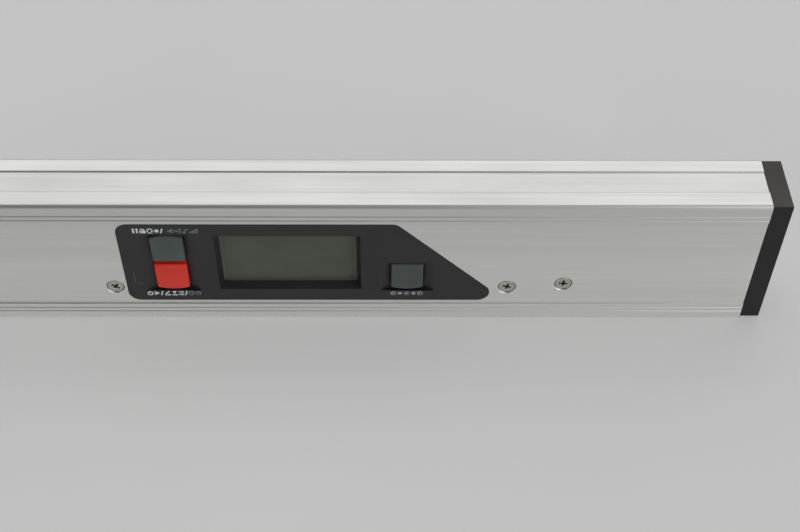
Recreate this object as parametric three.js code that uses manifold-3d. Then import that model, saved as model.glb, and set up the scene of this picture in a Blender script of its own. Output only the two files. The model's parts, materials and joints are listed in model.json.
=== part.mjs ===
// Digital level: a hollow aluminium beam that holds a battery-powered inclinometer.
// Millimetres. X runs along the beam, +Y points to its back and +Z points up.
// The origin is in the middle of the bottom face.
import * as THREE from "three";
import { ConvexGeometry } from "three/addons/geometries/ConvexGeometry.js";
import { mergeVertices } from "three/addons/utils/BufferGeometryUtils.js";
import Module from "manifold-3d";

const wasm = await Module();
wasm.setup();

// ---- Driving sizes: beam and end caps -------------------------------------------------------

const BEAM_LENGTH = 400; // over both end caps
const BEAM_HEIGHT = 60;
const BEAM_DEPTH = 24.5;
const SIDE_WALL = 1.8; // front and back walls, behind the face recess
const FLANGE_WALL = 2.8; // top and bottom walls, beside the channel
const EDGE_RADIUS = 1.4;
const CAVITY_RADIUS = 1;

const FACE_RECESS_DEPTH = 0.45;
const FACE_RECESS_MARGIN = 8.2; // from the top or bottom edge to the recess
const UPPER_GROOVES = [5, 7]; // from the top edge to each groove
const LOWER_GROOVES = [4.1, 6.1]; // from the bottom edge to each groove
const GROOVE_WIDTH = 0.5;
const GROOVE_DEPTH = 0.3;
const CHANNEL_WIDTH = 10.2; // along the middle of the top and bottom faces
const CHANNEL_DEPTH = 0.5;
const CHANNEL_OFFSET = 0.5; // towards the back

const CAP_THICKNESS = 7.3;
const CAP_INSET = 0.5; // the cap is this much smaller than the beam, all round
const CAP_RADIUS = 0.4;
const CAP_PLUG_LENGTH = 10;
const CAP_PLUG_RADIUS = 1;
const CAP_WALL = 2;

// ---- Driving sizes: instrument panel --------------------------------------------------------

const DISPLAY_FROM_END = 176.9; // from the middle of the display to the beam's right end
const PANEL_LEFT_MARGIN = 17.1; // from the left buttons' middle to the panel's left edge
const PANEL_RIGHT_MARGIN = 36.55; // from the right button's middle to the slanted end's point
const PANEL_BOTTOM_MARGIN = 1.95; // from the face recess's edge
const PANEL_TOP_MARGIN = 1.15;
const PANEL_RADIUS = 4.3;

const DISPLAY_STRIP = 6; // from the panel's edge to the display's opening
const DISPLAY_OPENING_WIDTH = 52.3;
const DISPLAY_DRAFT_SIDE = 1.55; // how far the opening's walls lean in
const DISPLAY_DRAFT_END = 1.35;
const BEZEL_FLANGE_THICKNESS = 1.5;
const BEZEL_FLANGE_OVERHANG = 5; // past the panel's screws
const BEZEL_FLANGE_MARGIN = 1; // from the cavity's floor and ceiling

const BUTTON_MARGIN = 16.85; // from the display's opening to the buttons' middle
const BUTTON_WIDTH = 11.7;
const BUTTON_BULGE = 1.2; // how far the curved end stands past its corners
const BUTTON_CROWN = 0.45; // how much lower the button's face is at its ends
const BUTTON_PAIR_GAP = 1.5;
const BUTTON_RIM = 0.6; // the hidden rim that keeps the button behind the bezel
const BUTTON_RIM_THICKNESS = 0.9;
const BUTTON_TRAVEL = 0.6;
const WELL_WIDTH = 20.3; // the finger scoop round the buttons
const WELL_DEPTH = 2.4;
const WELL_STRIP = 5.2; // from the panel's edge to the scoop
const WELL_END_GAP = 0.85; // from the scoop's end to the button
const CROWN_SIDES = 240; // facets of the full circle that the crown is a part of

// ---- Driving sizes: display stack and circuit board -----------------------------------------

const WINDOW_THICKNESS = 0.5;
const WINDOW_LAP = 2.2; // how far the window reaches behind the bezel
const LCD_THICKNESS = 2.2;
const LIGHT_GUIDE_THICKNESS = 2.5;
const STRIP_WIDTH = 2; // the rubber connector strips above and below the light guide
const FRAME_WALL = 1.8;
const GLASS_RADIUS = 0.5; // corners of the window, the LCD and the light guide
const SEAT_RADIUS = 1; // corners of what they sit in, and of the circuit board
const PLATE_RADIUS = 2; // corners of the bezel's flange, the rear housing and the battery cover
const LED_WIDTH = 3.5;
const LED_LENGTH = 1.4;
const BOARD_THICKNESS = 1.6;
const BOARD_LEFT_MARGIN = 7; // from the left buttons' middle to the board's left end
const BOARD_RIGHT_MARGIN = 15; // from the right button's middle to the board's right end
const BOARD_STRIP = 4; // from the panel's edge to the board's edge
const COMPONENT_HEIGHT = 5.25; // from the board's back to the housing's inside
const HOUSING_WALL = 1.6;
const HOUSING_BORDER = 1; // past the panel's upper and lower edges
const HOUSING_LEFT_MARGIN = 15; // from the left buttons' middle to the housing's left end
const HOUSING_RIGHT_MARGIN = 25; // from the right button's middle to the housing's right end
const HOUSING_POST_INSET = 4; // from the housing's outside to the middle of its screws
const SWITCH_SIZE = 6;
const SWITCH_FLOOR = 0.75; // between the plunger's bore and the circuit board
const PLUNGER_RADIUS = 1.75;

// ---- Driving sizes: what the circuit board carries ------------------------------------------

const CHIP = { size: 10, height: 1.4, standoff: 0.1, fromDisplay: -14 };
const CHIP_LEADS = { perSide: 6, pitch: 1.4, width: 0.4, reach: 1, thickness: 0.3 };
const CRYSTAL = { length: 8, width: 3.2, height: 2.4, radius: 1.5, belowChip: 9.5 };
const TILT_SENSOR = { size: 5, height: 1.8, fromDisplay: 8.5 };
const BUZZER = { radius: 6, headroom: 0.6, holeRadius: 1, holeDepth: 1.5, fromDisplay: 24 };
const SOUND_SLOTS = { count: 3, pitch: 2.5, width: 1, length: 8 };
const SOCKET = { size: 6, height: 4.4, wall: 0.7, fromBoardEnd: 6 };
const SOCKET_SLOT = { floor: 1, height: 2.6, depth: 4.5 };
const PLUG_OVERHANG = 1.2; // past the socket's mouth
const LEAD_SPREAD = 1.1; // from the plug's middle to each lead
const LEAD_NOTCH = { height: 6, depth: 4 }; // the leads' way out of the rear housing

// ---- Driving sizes: battery bay -------------------------------------------------------------

const CELL_RADIUS = 5.25; // AAA
const CELL_LENGTH = 44.5;
const CELL_NUB_RADIUS = 1.9;
const CELL_NUB_LENGTH = 0.8;
const CELL_SPACING = 2.1; // between the two cells
const HOLDER_WALL = 1.6;
const HOLDER_FLOOR = 3;
const PLATE_GAP = 1; // from the holder's wall to the cell's plus end
const SPRING_GAP = 5; // from the holder's wall to the cell's minus end
const CONTACT_THICKNESS = 0.4;
const SPRING_WIRE_RADIUS = 0.3;
const COVER_POST_LENGTH = 9;
const COVER_LAP = 1.6; // the cover is this much taller than the holder, above and below
const COVER_LEFT_OF_SCREW = 11; // from the holder's screw to the bay's left end
const COVER_RIB_MARGIN = 8; // from the pocket's ends to the rib that holds the cells down
const GRIP = { ridges: 4, pitch: 2.6, width: 1.1, length: 16, height: 0.3, radius: 0.5, start: 3 };
const FOOT_LENGTH = 4; // the foot under the holder's far end
const DIVIDER_END_GAP = 2; // past the springs' length
const CONTACT_SIZE = 8.4;
const CONTACT_RADIUS = 1.5;
const SPRING = { turns: 3, rootRadius: 3.4, tipRadius: 1.8, steps: 36, sides: 6 };
const LEAD_RADIUS = 0.65;
const LEAD_HOLE_DEPTH = 1.5; // in front of the cells' backs
const LEAD_STEPS = 24;
const LEAD_SIDES = 8;
const LEAD_HOLE_SIDES = 12;

// ---- Driving sizes: screws and clearances ---------------------------------------------------

const PANEL_SCREW_LEFT = 4.5; // from the panel's left edge to the left screw
const PANEL_SCREW_RIGHT = 0.45; // from the panel's point to the right screw
const HOLDER_SCREW_OFFSET = 20.7; // from the panel's right screw to the holder's screw
const PANEL_SCREW_HEIGHT = 9.15; // above the face recess's lower edge
const HOLDER_SCREW_HEIGHT = 10.9;
const M3_RADIUS = 1.45;
const M3_HEAD_RADIUS = 3;
const M3_LENGTH = 6;
const M3_SINK = 0.25; // from the face to the screw's head
const M3_SLOT_DEPTH = 1.3;
const M2_RADIUS = 0.95;
const M2_HEAD_RADIUS = 1.9;
const M2_HEAD_HEIGHT = 1.3;
const M2_EDGE_HEIGHT = 0.78; // of the head's upright edge
const M2_TOP_RADIUS = 1.33; // of the head's flat top
const M2_LENGTH = 5;
const M2_SLOT_DEPTH = 0.8;
const SLOT_REACH = 0.6; // of the head's radius
const SLOT_MOUTH = { reach: 1, half: 0.2 }; // of the slot's reach, at the head's face
const SLOT_FLOOR = { reach: 0.35, half: 0.14 }; // and at the slot's floor
const BOSS_RADIUS = 3.5;
const POST_RADIUS = 2.4;

const SEAT_GAP = 0.05; // between two faces that rest on each other
const FIT_GAP = 0.15; // round a fixed piece in its opening
const ROUND_GAP = 0.25; // round a screw or a pin in its hole
const SLIDE_GAP = 0.2; // round a button in its opening
const THROUGH = 1; // how far a cutter runs past the face it opens
const LAP = 0.2; // how deep two joined shapes sink into each other

// ---- Places worked out from the sizes -------------------------------------------------------

const rightEnd = BEAM_LENGTH / 2;
const beamEnd = rightEnd - CAP_THICKNESS;
const frontY = -BEAM_DEPTH / 2;
const backY = BEAM_DEPTH / 2;
const faceY = frontY + FACE_RECESS_DEPTH;
const cavityFrontY = faceY + SIDE_WALL;
const cavityBackY = -cavityFrontY;
const cavityBottom = FLANGE_WALL;
const cavityTop = BEAM_HEIGHT - FLANGE_WALL;

const displayX = rightEnd - DISPLAY_FROM_END;
const panelBottom = FACE_RECESS_MARGIN + PANEL_BOTTOM_MARGIN;
const panelTop = BEAM_HEIGHT - FACE_RECESS_MARGIN - PANEL_TOP_MARGIN;
const panelMiddle = (panelBottom + panelTop) / 2;
const openingHalf = DISPLAY_OPENING_WIDTH / 2;
const leftButtonsX = displayX - openingHalf - BUTTON_MARGIN;
const lightButtonX = displayX + openingHalf + BUTTON_MARGIN;
const panelLeft = leftButtonsX - PANEL_LEFT_MARGIN;
const panelPoint = lightButtonX + PANEL_RIGHT_MARGIN;
const panelScrewZ = FACE_RECESS_MARGIN + PANEL_SCREW_HEIGHT;
const panelScrews = [
  { name: "display_screw_left", x: panelLeft - PANEL_SCREW_LEFT, z: panelScrewZ },
  { name: "display_screw_right", x: panelPoint + PANEL_SCREW_RIGHT, z: panelScrewZ },
];
const holderScrew = {
  name: "battery_holder_screw",
  x: panelPoint + PANEL_SCREW_RIGHT + HOLDER_SCREW_OFFSET,
  z: FACE_RECESS_MARGIN + HOLDER_SCREW_HEIGHT,
};

// The layers behind the panel, from front to back
const bezelFlangeY = cavityFrontY + SEAT_GAP;
const bezelBackY = bezelFlangeY + BEZEL_FLANGE_THICKNESS;
const windowY = bezelBackY - WINDOW_THICKNESS;
const lcdY = bezelBackY + SEAT_GAP;
const lightGuideY = lcdY + LCD_THICKNESS + SEAT_GAP;
const boardY = lightGuideY + LIGHT_GUIDE_THICKNESS + 2 * SEAT_GAP;
const boardBackY = boardY + BOARD_THICKNESS;
const housingInnerY = boardBackY + COMPONENT_HEIGHT;
const housingBackY = housingInnerY + HOUSING_WALL;

// The opening over the display, at the panel's face and at the window
const openingBottom = panelBottom + DISPLAY_STRIP;
const openingTop = panelTop - DISPLAY_STRIP;
const sightHalf = openingHalf - DISPLAY_DRAFT_SIDE;
const sightBottom = openingBottom + DISPLAY_DRAFT_END;
const sightTop = openingTop - DISPLAY_DRAFT_END;
const lcdHalf = sightHalf + WINDOW_LAP;
const lcdBottom = sightBottom - WINDOW_LAP;
const lcdTop = sightTop + WINDOW_LAP;

// The buttons: two above each other on the left, one at the lower right
const wellBottom = panelBottom + WELL_STRIP;
const wellTop = panelTop - WELL_STRIP;
const buttonBottom = wellBottom + WELL_END_GAP;
const buttonTop = wellTop - WELL_END_GAP;
const buttonHeight = (buttonTop - buttonBottom - BUTTON_PAIR_GAP) / 2;
const lowerButtonZ = buttonBottom + buttonHeight / 2;
const upperButtonZ = buttonTop - buttonHeight / 2;
const buttons = [
  { name: "hold", x: leftButtonsX, z: upperButtonZ, curvedEnd: 1 },
  { name: "power", x: leftButtonsX, z: lowerButtonZ, curvedEnd: -1 },
  { name: "light", x: lightButtonX, z: lowerButtonZ, curvedEnd: -1 },
];
const rimFrontY = bezelBackY + SEAT_GAP;
const rimBackY = rimFrontY + BUTTON_RIM_THICKNESS;
const switchY = rimBackY + BUTTON_TRAVEL + ROUND_GAP;

// The battery bay
const bayLeft = holderScrew.x - COVER_LEFT_OF_SCREW;
const pocketLeft = bayLeft + HOLDER_WALL;
const pocketRight = pocketLeft + CELL_LENGTH + PLATE_GAP + SPRING_GAP;
const holderRight = pocketRight + HOLDER_WALL + COVER_POST_LENGTH;
const bayMiddle = BEAM_HEIGHT / 2;
const cellPitch = 2 * CELL_RADIUS + CELL_SPACING;
const upperCellZ = bayMiddle + cellPitch / 2;
const lowerCellZ = bayMiddle - cellPitch / 2;
const pocketHalf = cellPitch / 2 + CELL_RADIUS + ROUND_GAP;
const holderHalf = pocketHalf + HOLDER_WALL;
const holderBackY = cavityBackY - COVER_LAP;
const cellY = holderBackY - CELL_RADIUS - SEAT_GAP;
const pocketFloorY = cellY - CELL_RADIUS / 2;
const holderFrontY = pocketFloorY - HOLDER_FLOOR - CELL_RADIUS / 2;
const coverPostX = pocketRight + HOLDER_WALL + COVER_POST_LENGTH / 2;

// ---- Shape helpers --------------------------------------------------------------------------

const MERGE_DISTANCE = 1e-4;
const ARC_STEPS = 6;
const WIDE_RADIUS = 4; // corners with a larger radius than this are rounded in finer steps
const WIDE_ARC_STEPS = 14;
const ROUND_SIDES = 20;
const COUNTERSINK_SIDES = 40;

// A closed three.js geometry as a solid that can be joined and cut.
function toSolid(geometry) {
  geometry.deleteAttribute("normal");
  geometry.deleteAttribute("uv");
  const merged = mergeVertices(geometry, MERGE_DISTANCE);
  const mesh = new wasm.Mesh({
    numProp: 3,
    vertProperties: merged.getAttribute("position").array,
    triVerts: new Uint32Array(merged.index.array),
  });
  return new wasm.Manifold(mesh);
}

function toGeometry(solid) {
  const mesh = solid.getMesh();
  const geometry = new THREE.BufferGeometry();
  geometry.setAttribute("position", new THREE.BufferAttribute(mesh.vertProperties, 3));
  geometry.setIndex(new THREE.BufferAttribute(mesh.triVerts, 1));
  geometry.computeVertexNormals();
  return geometry;
}

function join(...solids) {
  return solids.reduce((whole, solid) => whole.add(solid));
}

function cut(body, ...cutters) {
  return cutters.reduce((rest, cutter) => rest.subtract(cutter), body);
}

// An outline through the given corners, each { x, y, r } rounded with radius r.
function roundedOutline(corners) {
  const points = [];
  corners.forEach((corner, i) => {
    const here = new THREE.Vector2(corner.x, corner.y);
    if (!corner.r) {
      points.push(here);
      return;
    }
    const before = corners[(i + corners.length - 1) % corners.length];
    const after = corners[(i + 1) % corners.length];
    const toBefore = new THREE.Vector2(before.x, before.y).sub(here).normalize();
    const toAfter = new THREE.Vector2(after.x, after.y).sub(here).normalize();
    const halfAngle = Math.acos(toBefore.dot(toAfter)) / 2;
    const inward = toBefore.clone().add(toAfter).normalize();
    const centre = here.clone().addScaledVector(inward, corner.r / Math.sin(halfAngle));
    const setback = corner.r / Math.tan(halfAngle);
    const start = here.clone().addScaledVector(toBefore, setback).sub(centre);
    const end = here.clone().addScaledVector(toAfter, setback).sub(centre);
    const sweep = Math.atan2(start.cross(end), start.dot(end));
    const steps = corner.r > WIDE_RADIUS ? WIDE_ARC_STEPS : ARC_STEPS;
    for (let step = 0; step <= steps; step += 1) {
      const turn = (sweep * step) / steps;
      points.push(start.clone().rotateAround(new THREE.Vector2(), turn).add(centre));
    }
  });
  return new THREE.Shape(points);
}

function rectangle(left, right, bottom, top, r = 0) {
  return roundedOutline([
    { x: left, y: bottom, r },
    { x: right, y: bottom, r },
    { x: right, y: top, r },
    { x: left, y: top, r },
  ]);
}

function extrude(shape, depth) {
  return new THREE.ExtrudeGeometry(shape, { depth, bevelEnabled: false, curveSegments: ARC_STEPS });
}

// The outline's axes are Y and Z.
function prismX(shape, fromX, toX) {
  const turn = new THREE.Matrix4().makeBasis(
    new THREE.Vector3(0, 1, 0),
    new THREE.Vector3(0, 0, 1),
    new THREE.Vector3(1, 0, 0),
  );
  return toSolid(extrude(shape, toX - fromX).applyMatrix4(turn).translate(fromX, 0, 0));
}

// The outline's axes are X and Z.
function prismY(shape, fromY, toY) {
  return toSolid(extrude(shape, toY - fromY).rotateX(Math.PI / 2).translate(0, toY, 0));
}

// The outline's axes are X and Y.
function prismZ(shape, fromZ, toZ) {
  return toSolid(extrude(shape, toZ - fromZ).translate(0, 0, fromZ));
}

function box(fromX, toX, fromY, toY, fromZ, toZ) {
  const geometry = new THREE.BoxGeometry(toX - fromX, toY - fromY, toZ - fromZ);
  geometry.translate((fromX + toX) / 2, (fromY + toY) / 2, (fromZ + toZ) / 2);
  return toSolid(geometry);
}

function rodX(radius, fromX, toX, y, z, sides = ROUND_SIDES) {
  const geometry = new THREE.CylinderGeometry(radius, radius, toX - fromX, sides);
  geometry.rotateZ(Math.PI / 2).translate((fromX + toX) / 2, y, z);
  return toSolid(geometry);
}

function rodY(radius, fromY, toY, x, z, sides = ROUND_SIDES) {
  const geometry = new THREE.CylinderGeometry(radius, radius, toY - fromY, sides);
  geometry.translate(x, (fromY + toY) / 2, z);
  return toSolid(geometry);
}

// A body turned about a line along Y. Its profile lists [radius, y] from low to high y.
function turnedY(profile, x, z, sides = ROUND_SIDES) {
  const points = profile.map(([radius, y]) => new THREE.Vector2(radius, y));
  return toSolid(new THREE.LatheGeometry(points, sides).translate(x, 0, z));
}

// A round wire along a curve.
function wire(curve, radius, steps, sides) {
  const section = new THREE.Shape();
  section.absarc(0, 0, radius, 0, 2 * Math.PI);
  const options = { extrudePath: curve, steps, curveSegments: sides / 2, bevelEnabled: false };
  return toSolid(new THREE.ExtrudeGeometry(section, options));
}

// ---- Materials ------------------------------------------------------------------------------

function material(color, roughness, metalness = 0) {
  return new THREE.MeshStandardMaterial({ color, roughness, metalness });
}

const anodised = material(0xc9cac6, 0.45, 1);
const steel = material(0xb9b8b2, 0.3, 1);
const nickel = material(0xcfcdc4, 0.25, 1);
const blackPlastic = material(0x2b2b2d, 0.6);
const panelPlastic = material(0x2d2d30, 0.5);
const housingPlastic = material(0x3a3b3d, 0.6);
const redPlastic = material(0xb2382d, 0.4);
const greyPlastic = material(0x424644, 0.45);
const clearPlastic = material(0xdfe6e2, 0.05);
const lcdGlass = material(0x4c554b, 0.2);
const frostedPlastic = material(0xeceee8, 0.4);
const boardLaminate = material(0x1f5a38, 0.5);
const chipPlastic = material(0x1c1c1e, 0.6);
const rubber = material(0x8a8f94, 0.8);
const cellJacket = material(0x2f4a63, 0.35);
const redLead = material(0xa8241c, 0.5);
const blackLead = material(0x161616, 0.5);

const level = new THREE.Group();

function add(name, solid, finish) {
  const mesh = new THREE.Mesh(toGeometry(solid), finish);
  mesh.name = name;
  level.add(mesh);
}

// ---- Shared outlines and cutters ------------------------------------------------------------

// The panel's outline, with its right end cut at 45 degrees, made larger all round by grow.
function panelOutline(grow) {
  const left = panelLeft - grow;
  const bottom = panelBottom - grow;
  const top = panelTop + grow;
  const slantShift = grow * Math.SQRT2;
  const bottomRight = panelPoint + grow + slantShift;
  const topRight = bottomRight - (top - bottom);
  const r = PANEL_RADIUS + grow;
  return roundedOutline([
    { x: left, y: bottom, r },
    { x: bottomRight, y: bottom, r },
    { x: topRight, y: top, r },
    { x: left, y: top, r },
  ]);
}

// A button's outline: a rectangle whose outer end bulges, made larger all round by grow.
function buttonOutline(button, grow) {
  const halfWidth = BUTTON_WIDTH / 2 + grow;
  const flatEnd = -button.curvedEnd * (buttonHeight / 2 + grow);
  const cornerEnd = -flatEnd - button.curvedEnd * BUTTON_BULGE;
  const arcRadius = (halfWidth ** 2 + BUTTON_BULGE ** 2) / (2 * BUTTON_BULGE);
  const arcHalfAngle = Math.asin(halfWidth / arcRadius);
  const points = [
    new THREE.Vector2(button.x + halfWidth, button.z + flatEnd),
    new THREE.Vector2(button.x - halfWidth, button.z + flatEnd),
  ];
  for (let step = 0; step <= 2 * ARC_STEPS; step += 1) {
    const angle = arcHalfAngle * (step / ARC_STEPS - 1);
    const rise = arcRadius * (Math.cos(angle) - Math.cos(arcHalfAngle));
    const x = button.x + arcRadius * Math.sin(angle);
    points.push(new THREE.Vector2(x, button.z + cornerEnd + button.curvedEnd * rise));
  }
  return new THREE.Shape(points);
}

// The finger scoop round the buttons: a shallow round hollow that runs up and down.
function wellCutter(x, bottom, top) {
  const half = WELL_WIDTH / 2;
  const radius = (half ** 2 + WELL_DEPTH ** 2) / (2 * WELL_DEPTH);
  const centreY = faceY + WELL_DEPTH - radius;
  const halfAngle = Math.asin(half / radius);
  const points = [
    new THREE.Vector2(x + half, faceY - THROUGH),
    new THREE.Vector2(x - half, faceY - THROUGH),
  ];
  for (let step = 0; step <= 2 * WIDE_ARC_STEPS; step += 1) {
    const angle = halfAngle * (step / WIDE_ARC_STEPS - 1);
    const y = centreY + radius * Math.cos(angle);
    points.push(new THREE.Vector2(x + radius * Math.sin(angle), y));
  }
  return prismZ(new THREE.Shape(points), bottom, top);
}

// The opening over the display, whose walls lean in towards the window.
function displayOpeningCutter() {
  const depth = windowY - faceY;
  const corners = [];
  for (const y of [faceY - THROUGH, windowY + LAP]) {
    const share = (y - faceY) / depth;
    const half = openingHalf - DISPLAY_DRAFT_SIDE * share;
    const bottom = openingBottom + DISPLAY_DRAFT_END * share;
    const top = openingTop - DISPLAY_DRAFT_END * share;
    for (const x of [displayX - half, displayX + half]) {
      corners.push(new THREE.Vector3(x, y, bottom));
      corners.push(new THREE.Vector3(x, y, top));
    }
  }
  return toSolid(new ConvexGeometry(corners));
}

// A countersunk hole through a wall. side is -1 for the front face and 1 for the back.
function countersink({ x, z }, side) {
  const outerY = side * Math.abs(faceY);
  const wide = M3_HEAD_RADIUS + ROUND_GAP + M3_SINK;
  const narrow = M3_RADIUS + ROUND_GAP;
  const mouth = outerY + side * THROUGH;
  const throat = outerY - side * (wide - narrow);
  const inside = outerY - side * (SIDE_WALL + THROUGH);
  const profile = [
    [0, mouth],
    [wide, mouth],
    [wide, outerY],
    [narrow, throat],
    [narrow, inside],
    [0, inside],
  ];
  return turnedY(side < 0 ? profile : profile.reverse(), x, z, COUNTERSINK_SIDES);
}

// ---- Screws ---------------------------------------------------------------------------------

// The cross slot in a screw's head. faceAt is the head's outer face and side its direction.
function crossSlot(x, z, headRadius, depth, faceAt, side) {
  const radius = headRadius * SLOT_REACH;
  const arms = [0, Math.PI / 2].map((angle) => {
    const points = [];
    for (const [y, end] of [
      [faceAt + side * LAP, SLOT_MOUTH],
      [faceAt - side * depth, SLOT_FLOOR],
    ]) {
      for (const along of [-radius * end.reach, radius * end.reach]) {
        for (const across of [-radius * end.half, radius * end.half]) {
          const point = new THREE.Vector3(along, 0, across);
          point.applyAxisAngle(new THREE.Vector3(0, 1, 0), angle + Math.PI / 4);
          points.push(point.add(new THREE.Vector3(x, y, z)));
        }
      }
    }
    return toSolid(new ConvexGeometry(points));
  });
  return join(...arms);
}

// An M3 countersunk screw whose head lies just below the face. side as in countersink.
function countersunkScrew({ x, z }, side) {
  const top = side * (Math.abs(faceY) - M3_SINK);
  const headBottom = top - side * (M3_HEAD_RADIUS - M3_RADIUS);
  const tip = top - side * M3_LENGTH;
  const profile = [
    [0, top],
    [M3_HEAD_RADIUS, top],
    [M3_RADIUS, headBottom],
    [M3_RADIUS, tip + side * LAP],
    [M3_RADIUS - LAP, tip],
    [0, tip],
  ];
  const body = turnedY(side < 0 ? profile : profile.reverse(), x, z, COUNTERSINK_SIDES);
  return cut(body, crossSlot(x, z, M3_HEAD_RADIUS, M3_SLOT_DEPTH, top, side));
}

// An M2 pan-head screw that enters from the back.
function panScrew(x, z, seatY, length) {
  const headY = seatY + SEAT_GAP;
  const body = turnedY(
    [
      [0, headY - length],
      [M2_RADIUS, headY - length],
      [M2_RADIUS, headY],
      [M2_HEAD_RADIUS, headY],
      [M2_HEAD_RADIUS, headY + M2_EDGE_HEIGHT],
      [M2_TOP_RADIUS, headY + M2_HEAD_HEIGHT],
      [0, headY + M2_HEAD_HEIGHT],
    ],
    x,
    z,
  );
  return cut(body, crossSlot(x, z, M2_HEAD_RADIUS, M2_SLOT_DEPTH, headY + M2_HEAD_HEIGHT, 1));
}

// ---- Beam and end caps ----------------------------------------------------------------------

// The battery cover's outline and the opening that it fills.
function coverOutline(grow) {
  const half = holderHalf + COVER_LAP + grow;
  return rectangle(
    bayLeft - grow, holderRight + grow, bayMiddle - half, bayMiddle + half, PLATE_RADIUS + grow);
}

function beamExtrusion() {
  const longEnd = beamEnd + THROUGH;
  const outside = rectangle(frontY, backY, 0, BEAM_HEIGHT, EDGE_RADIUS);
  const inside = rectangle(cavityFrontY, cavityBackY, cavityBottom, cavityTop, CAVITY_RADIUS);
  let body = cut(prismX(outside, -beamEnd, beamEnd), prismX(inside, -longEnd, longEnd));
  const recessTop = BEAM_HEIGHT - FACE_RECESS_MARGIN;
  const channelFront = CHANNEL_OFFSET - CHANNEL_WIDTH / 2;
  const channelBack = CHANNEL_OFFSET + CHANNEL_WIDTH / 2;
  for (const side of [-1, 1]) {
    const nearY = Math.min(side * backY, side * (backY - FACE_RECESS_DEPTH));
    const fromY = side < 0 ? nearY - THROUGH : nearY;
    const toY = fromY + FACE_RECESS_DEPTH + THROUGH;
    body = cut(body, box(-longEnd, longEnd, fromY, toY, FACE_RECESS_MARGIN, recessTop));
    for (const z of [...LOWER_GROOVES, ...UPPER_GROOVES.map((margin) => BEAM_HEIGHT - margin)]) {
      const groove = new THREE.Shape([
        new THREE.Vector2(side * (backY - GROOVE_DEPTH), z),
        new THREE.Vector2(side * backY, z + GROOVE_WIDTH / 2),
        new THREE.Vector2(side * (backY + GROOVE_DEPTH), z),
        new THREE.Vector2(side * backY, z - GROOVE_WIDTH / 2),
      ]);
      body = cut(body, prismX(groove, -longEnd, longEnd));
    }
  }
  for (const fromZ of [-THROUGH, BEAM_HEIGHT - CHANNEL_DEPTH]) {
    const toZ = fromZ + CHANNEL_DEPTH + THROUGH;
    body = cut(body, box(-longEnd, longEnd, channelFront, channelBack, fromZ, toZ));
  }
  const panelHole = prismY(panelOutline(FIT_GAP), frontY - THROUGH, cavityFrontY + THROUGH);
  const coverHole = prismY(coverOutline(FIT_GAP), cavityBackY - THROUGH, backY + THROUGH);
  const screwHoles = [...panelScrews, holderScrew].map((screw) => countersink(screw, -1));
  return cut(body, panelHole, coverHole, ...screwHoles);
}

// A block that closes the beam, with a hollow plug that grips inside it. side is -1 or 1.
function endCap(side) {
  const across = (from, to) => (side > 0 ? [from, to] : [-to, -from]);
  const block = rectangle(
    frontY + CAP_INSET, backY - CAP_INSET, CAP_INSET, BEAM_HEIGHT - CAP_INSET, CAP_RADIUS);
  const plugOutline = (shrink) =>
    rectangle(
      cavityFrontY + shrink, cavityBackY - shrink,
      cavityBottom + shrink, cavityTop - shrink, CAP_PLUG_RADIUS);
  const plugStart = beamEnd - CAP_PLUG_LENGTH;
  return cut(
    join(
      prismX(block, ...across(beamEnd + SEAT_GAP, rightEnd)),
      prismX(plugOutline(FIT_GAP), ...across(plugStart, beamEnd + LAP)),
    ),
    prismX(plugOutline(FIT_GAP + CAP_WALL), ...across(plugStart - THROUGH, rightEnd - CAP_WALL)),
  );
}

add("beam_extrusion", beamExtrusion(), anodised);
add("left_end_cap", endCap(-1), blackPlastic);
add("right_end_cap", endCap(1), blackPlastic);

// ---- Bezel, buttons and switches ------------------------------------------------------------

// Screw posts of the housing, and those of the circuit board between display and buttons
const housingLeft = leftButtonsX - HOUSING_LEFT_MARGIN;
const housingRight = lightButtonX + HOUSING_RIGHT_MARGIN;
const housingBottom = panelBottom - HOUSING_BORDER;
const housingTop = panelTop + HOUSING_BORDER;
const frameHalf = lcdHalf + FIT_GAP + FRAME_WALL;
const buttonSide = lightButtonX - BUTTON_WIDTH / 2 - BUTTON_RIM;
const boardPostX = (frameHalf + buttonSide - displayX) / 2;
const boardPostZ = (lcdTop - lcdBottom) / 4;
const housingPosts = [];
const boardPosts = [];
for (const side of [-1, 1]) {
  for (const x of [housingLeft + HOUSING_POST_INSET, housingRight - HOUSING_POST_INSET]) {
    const half = (housingTop - housingBottom) / 2 - HOUSING_POST_INSET;
    housingPosts.push({ x, z: panelMiddle + side * half });
  }
  for (const end of [-1, 1]) {
    boardPosts.push({ x: displayX + end * boardPostX, z: panelMiddle + side * boardPostZ });
  }
}

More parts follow.
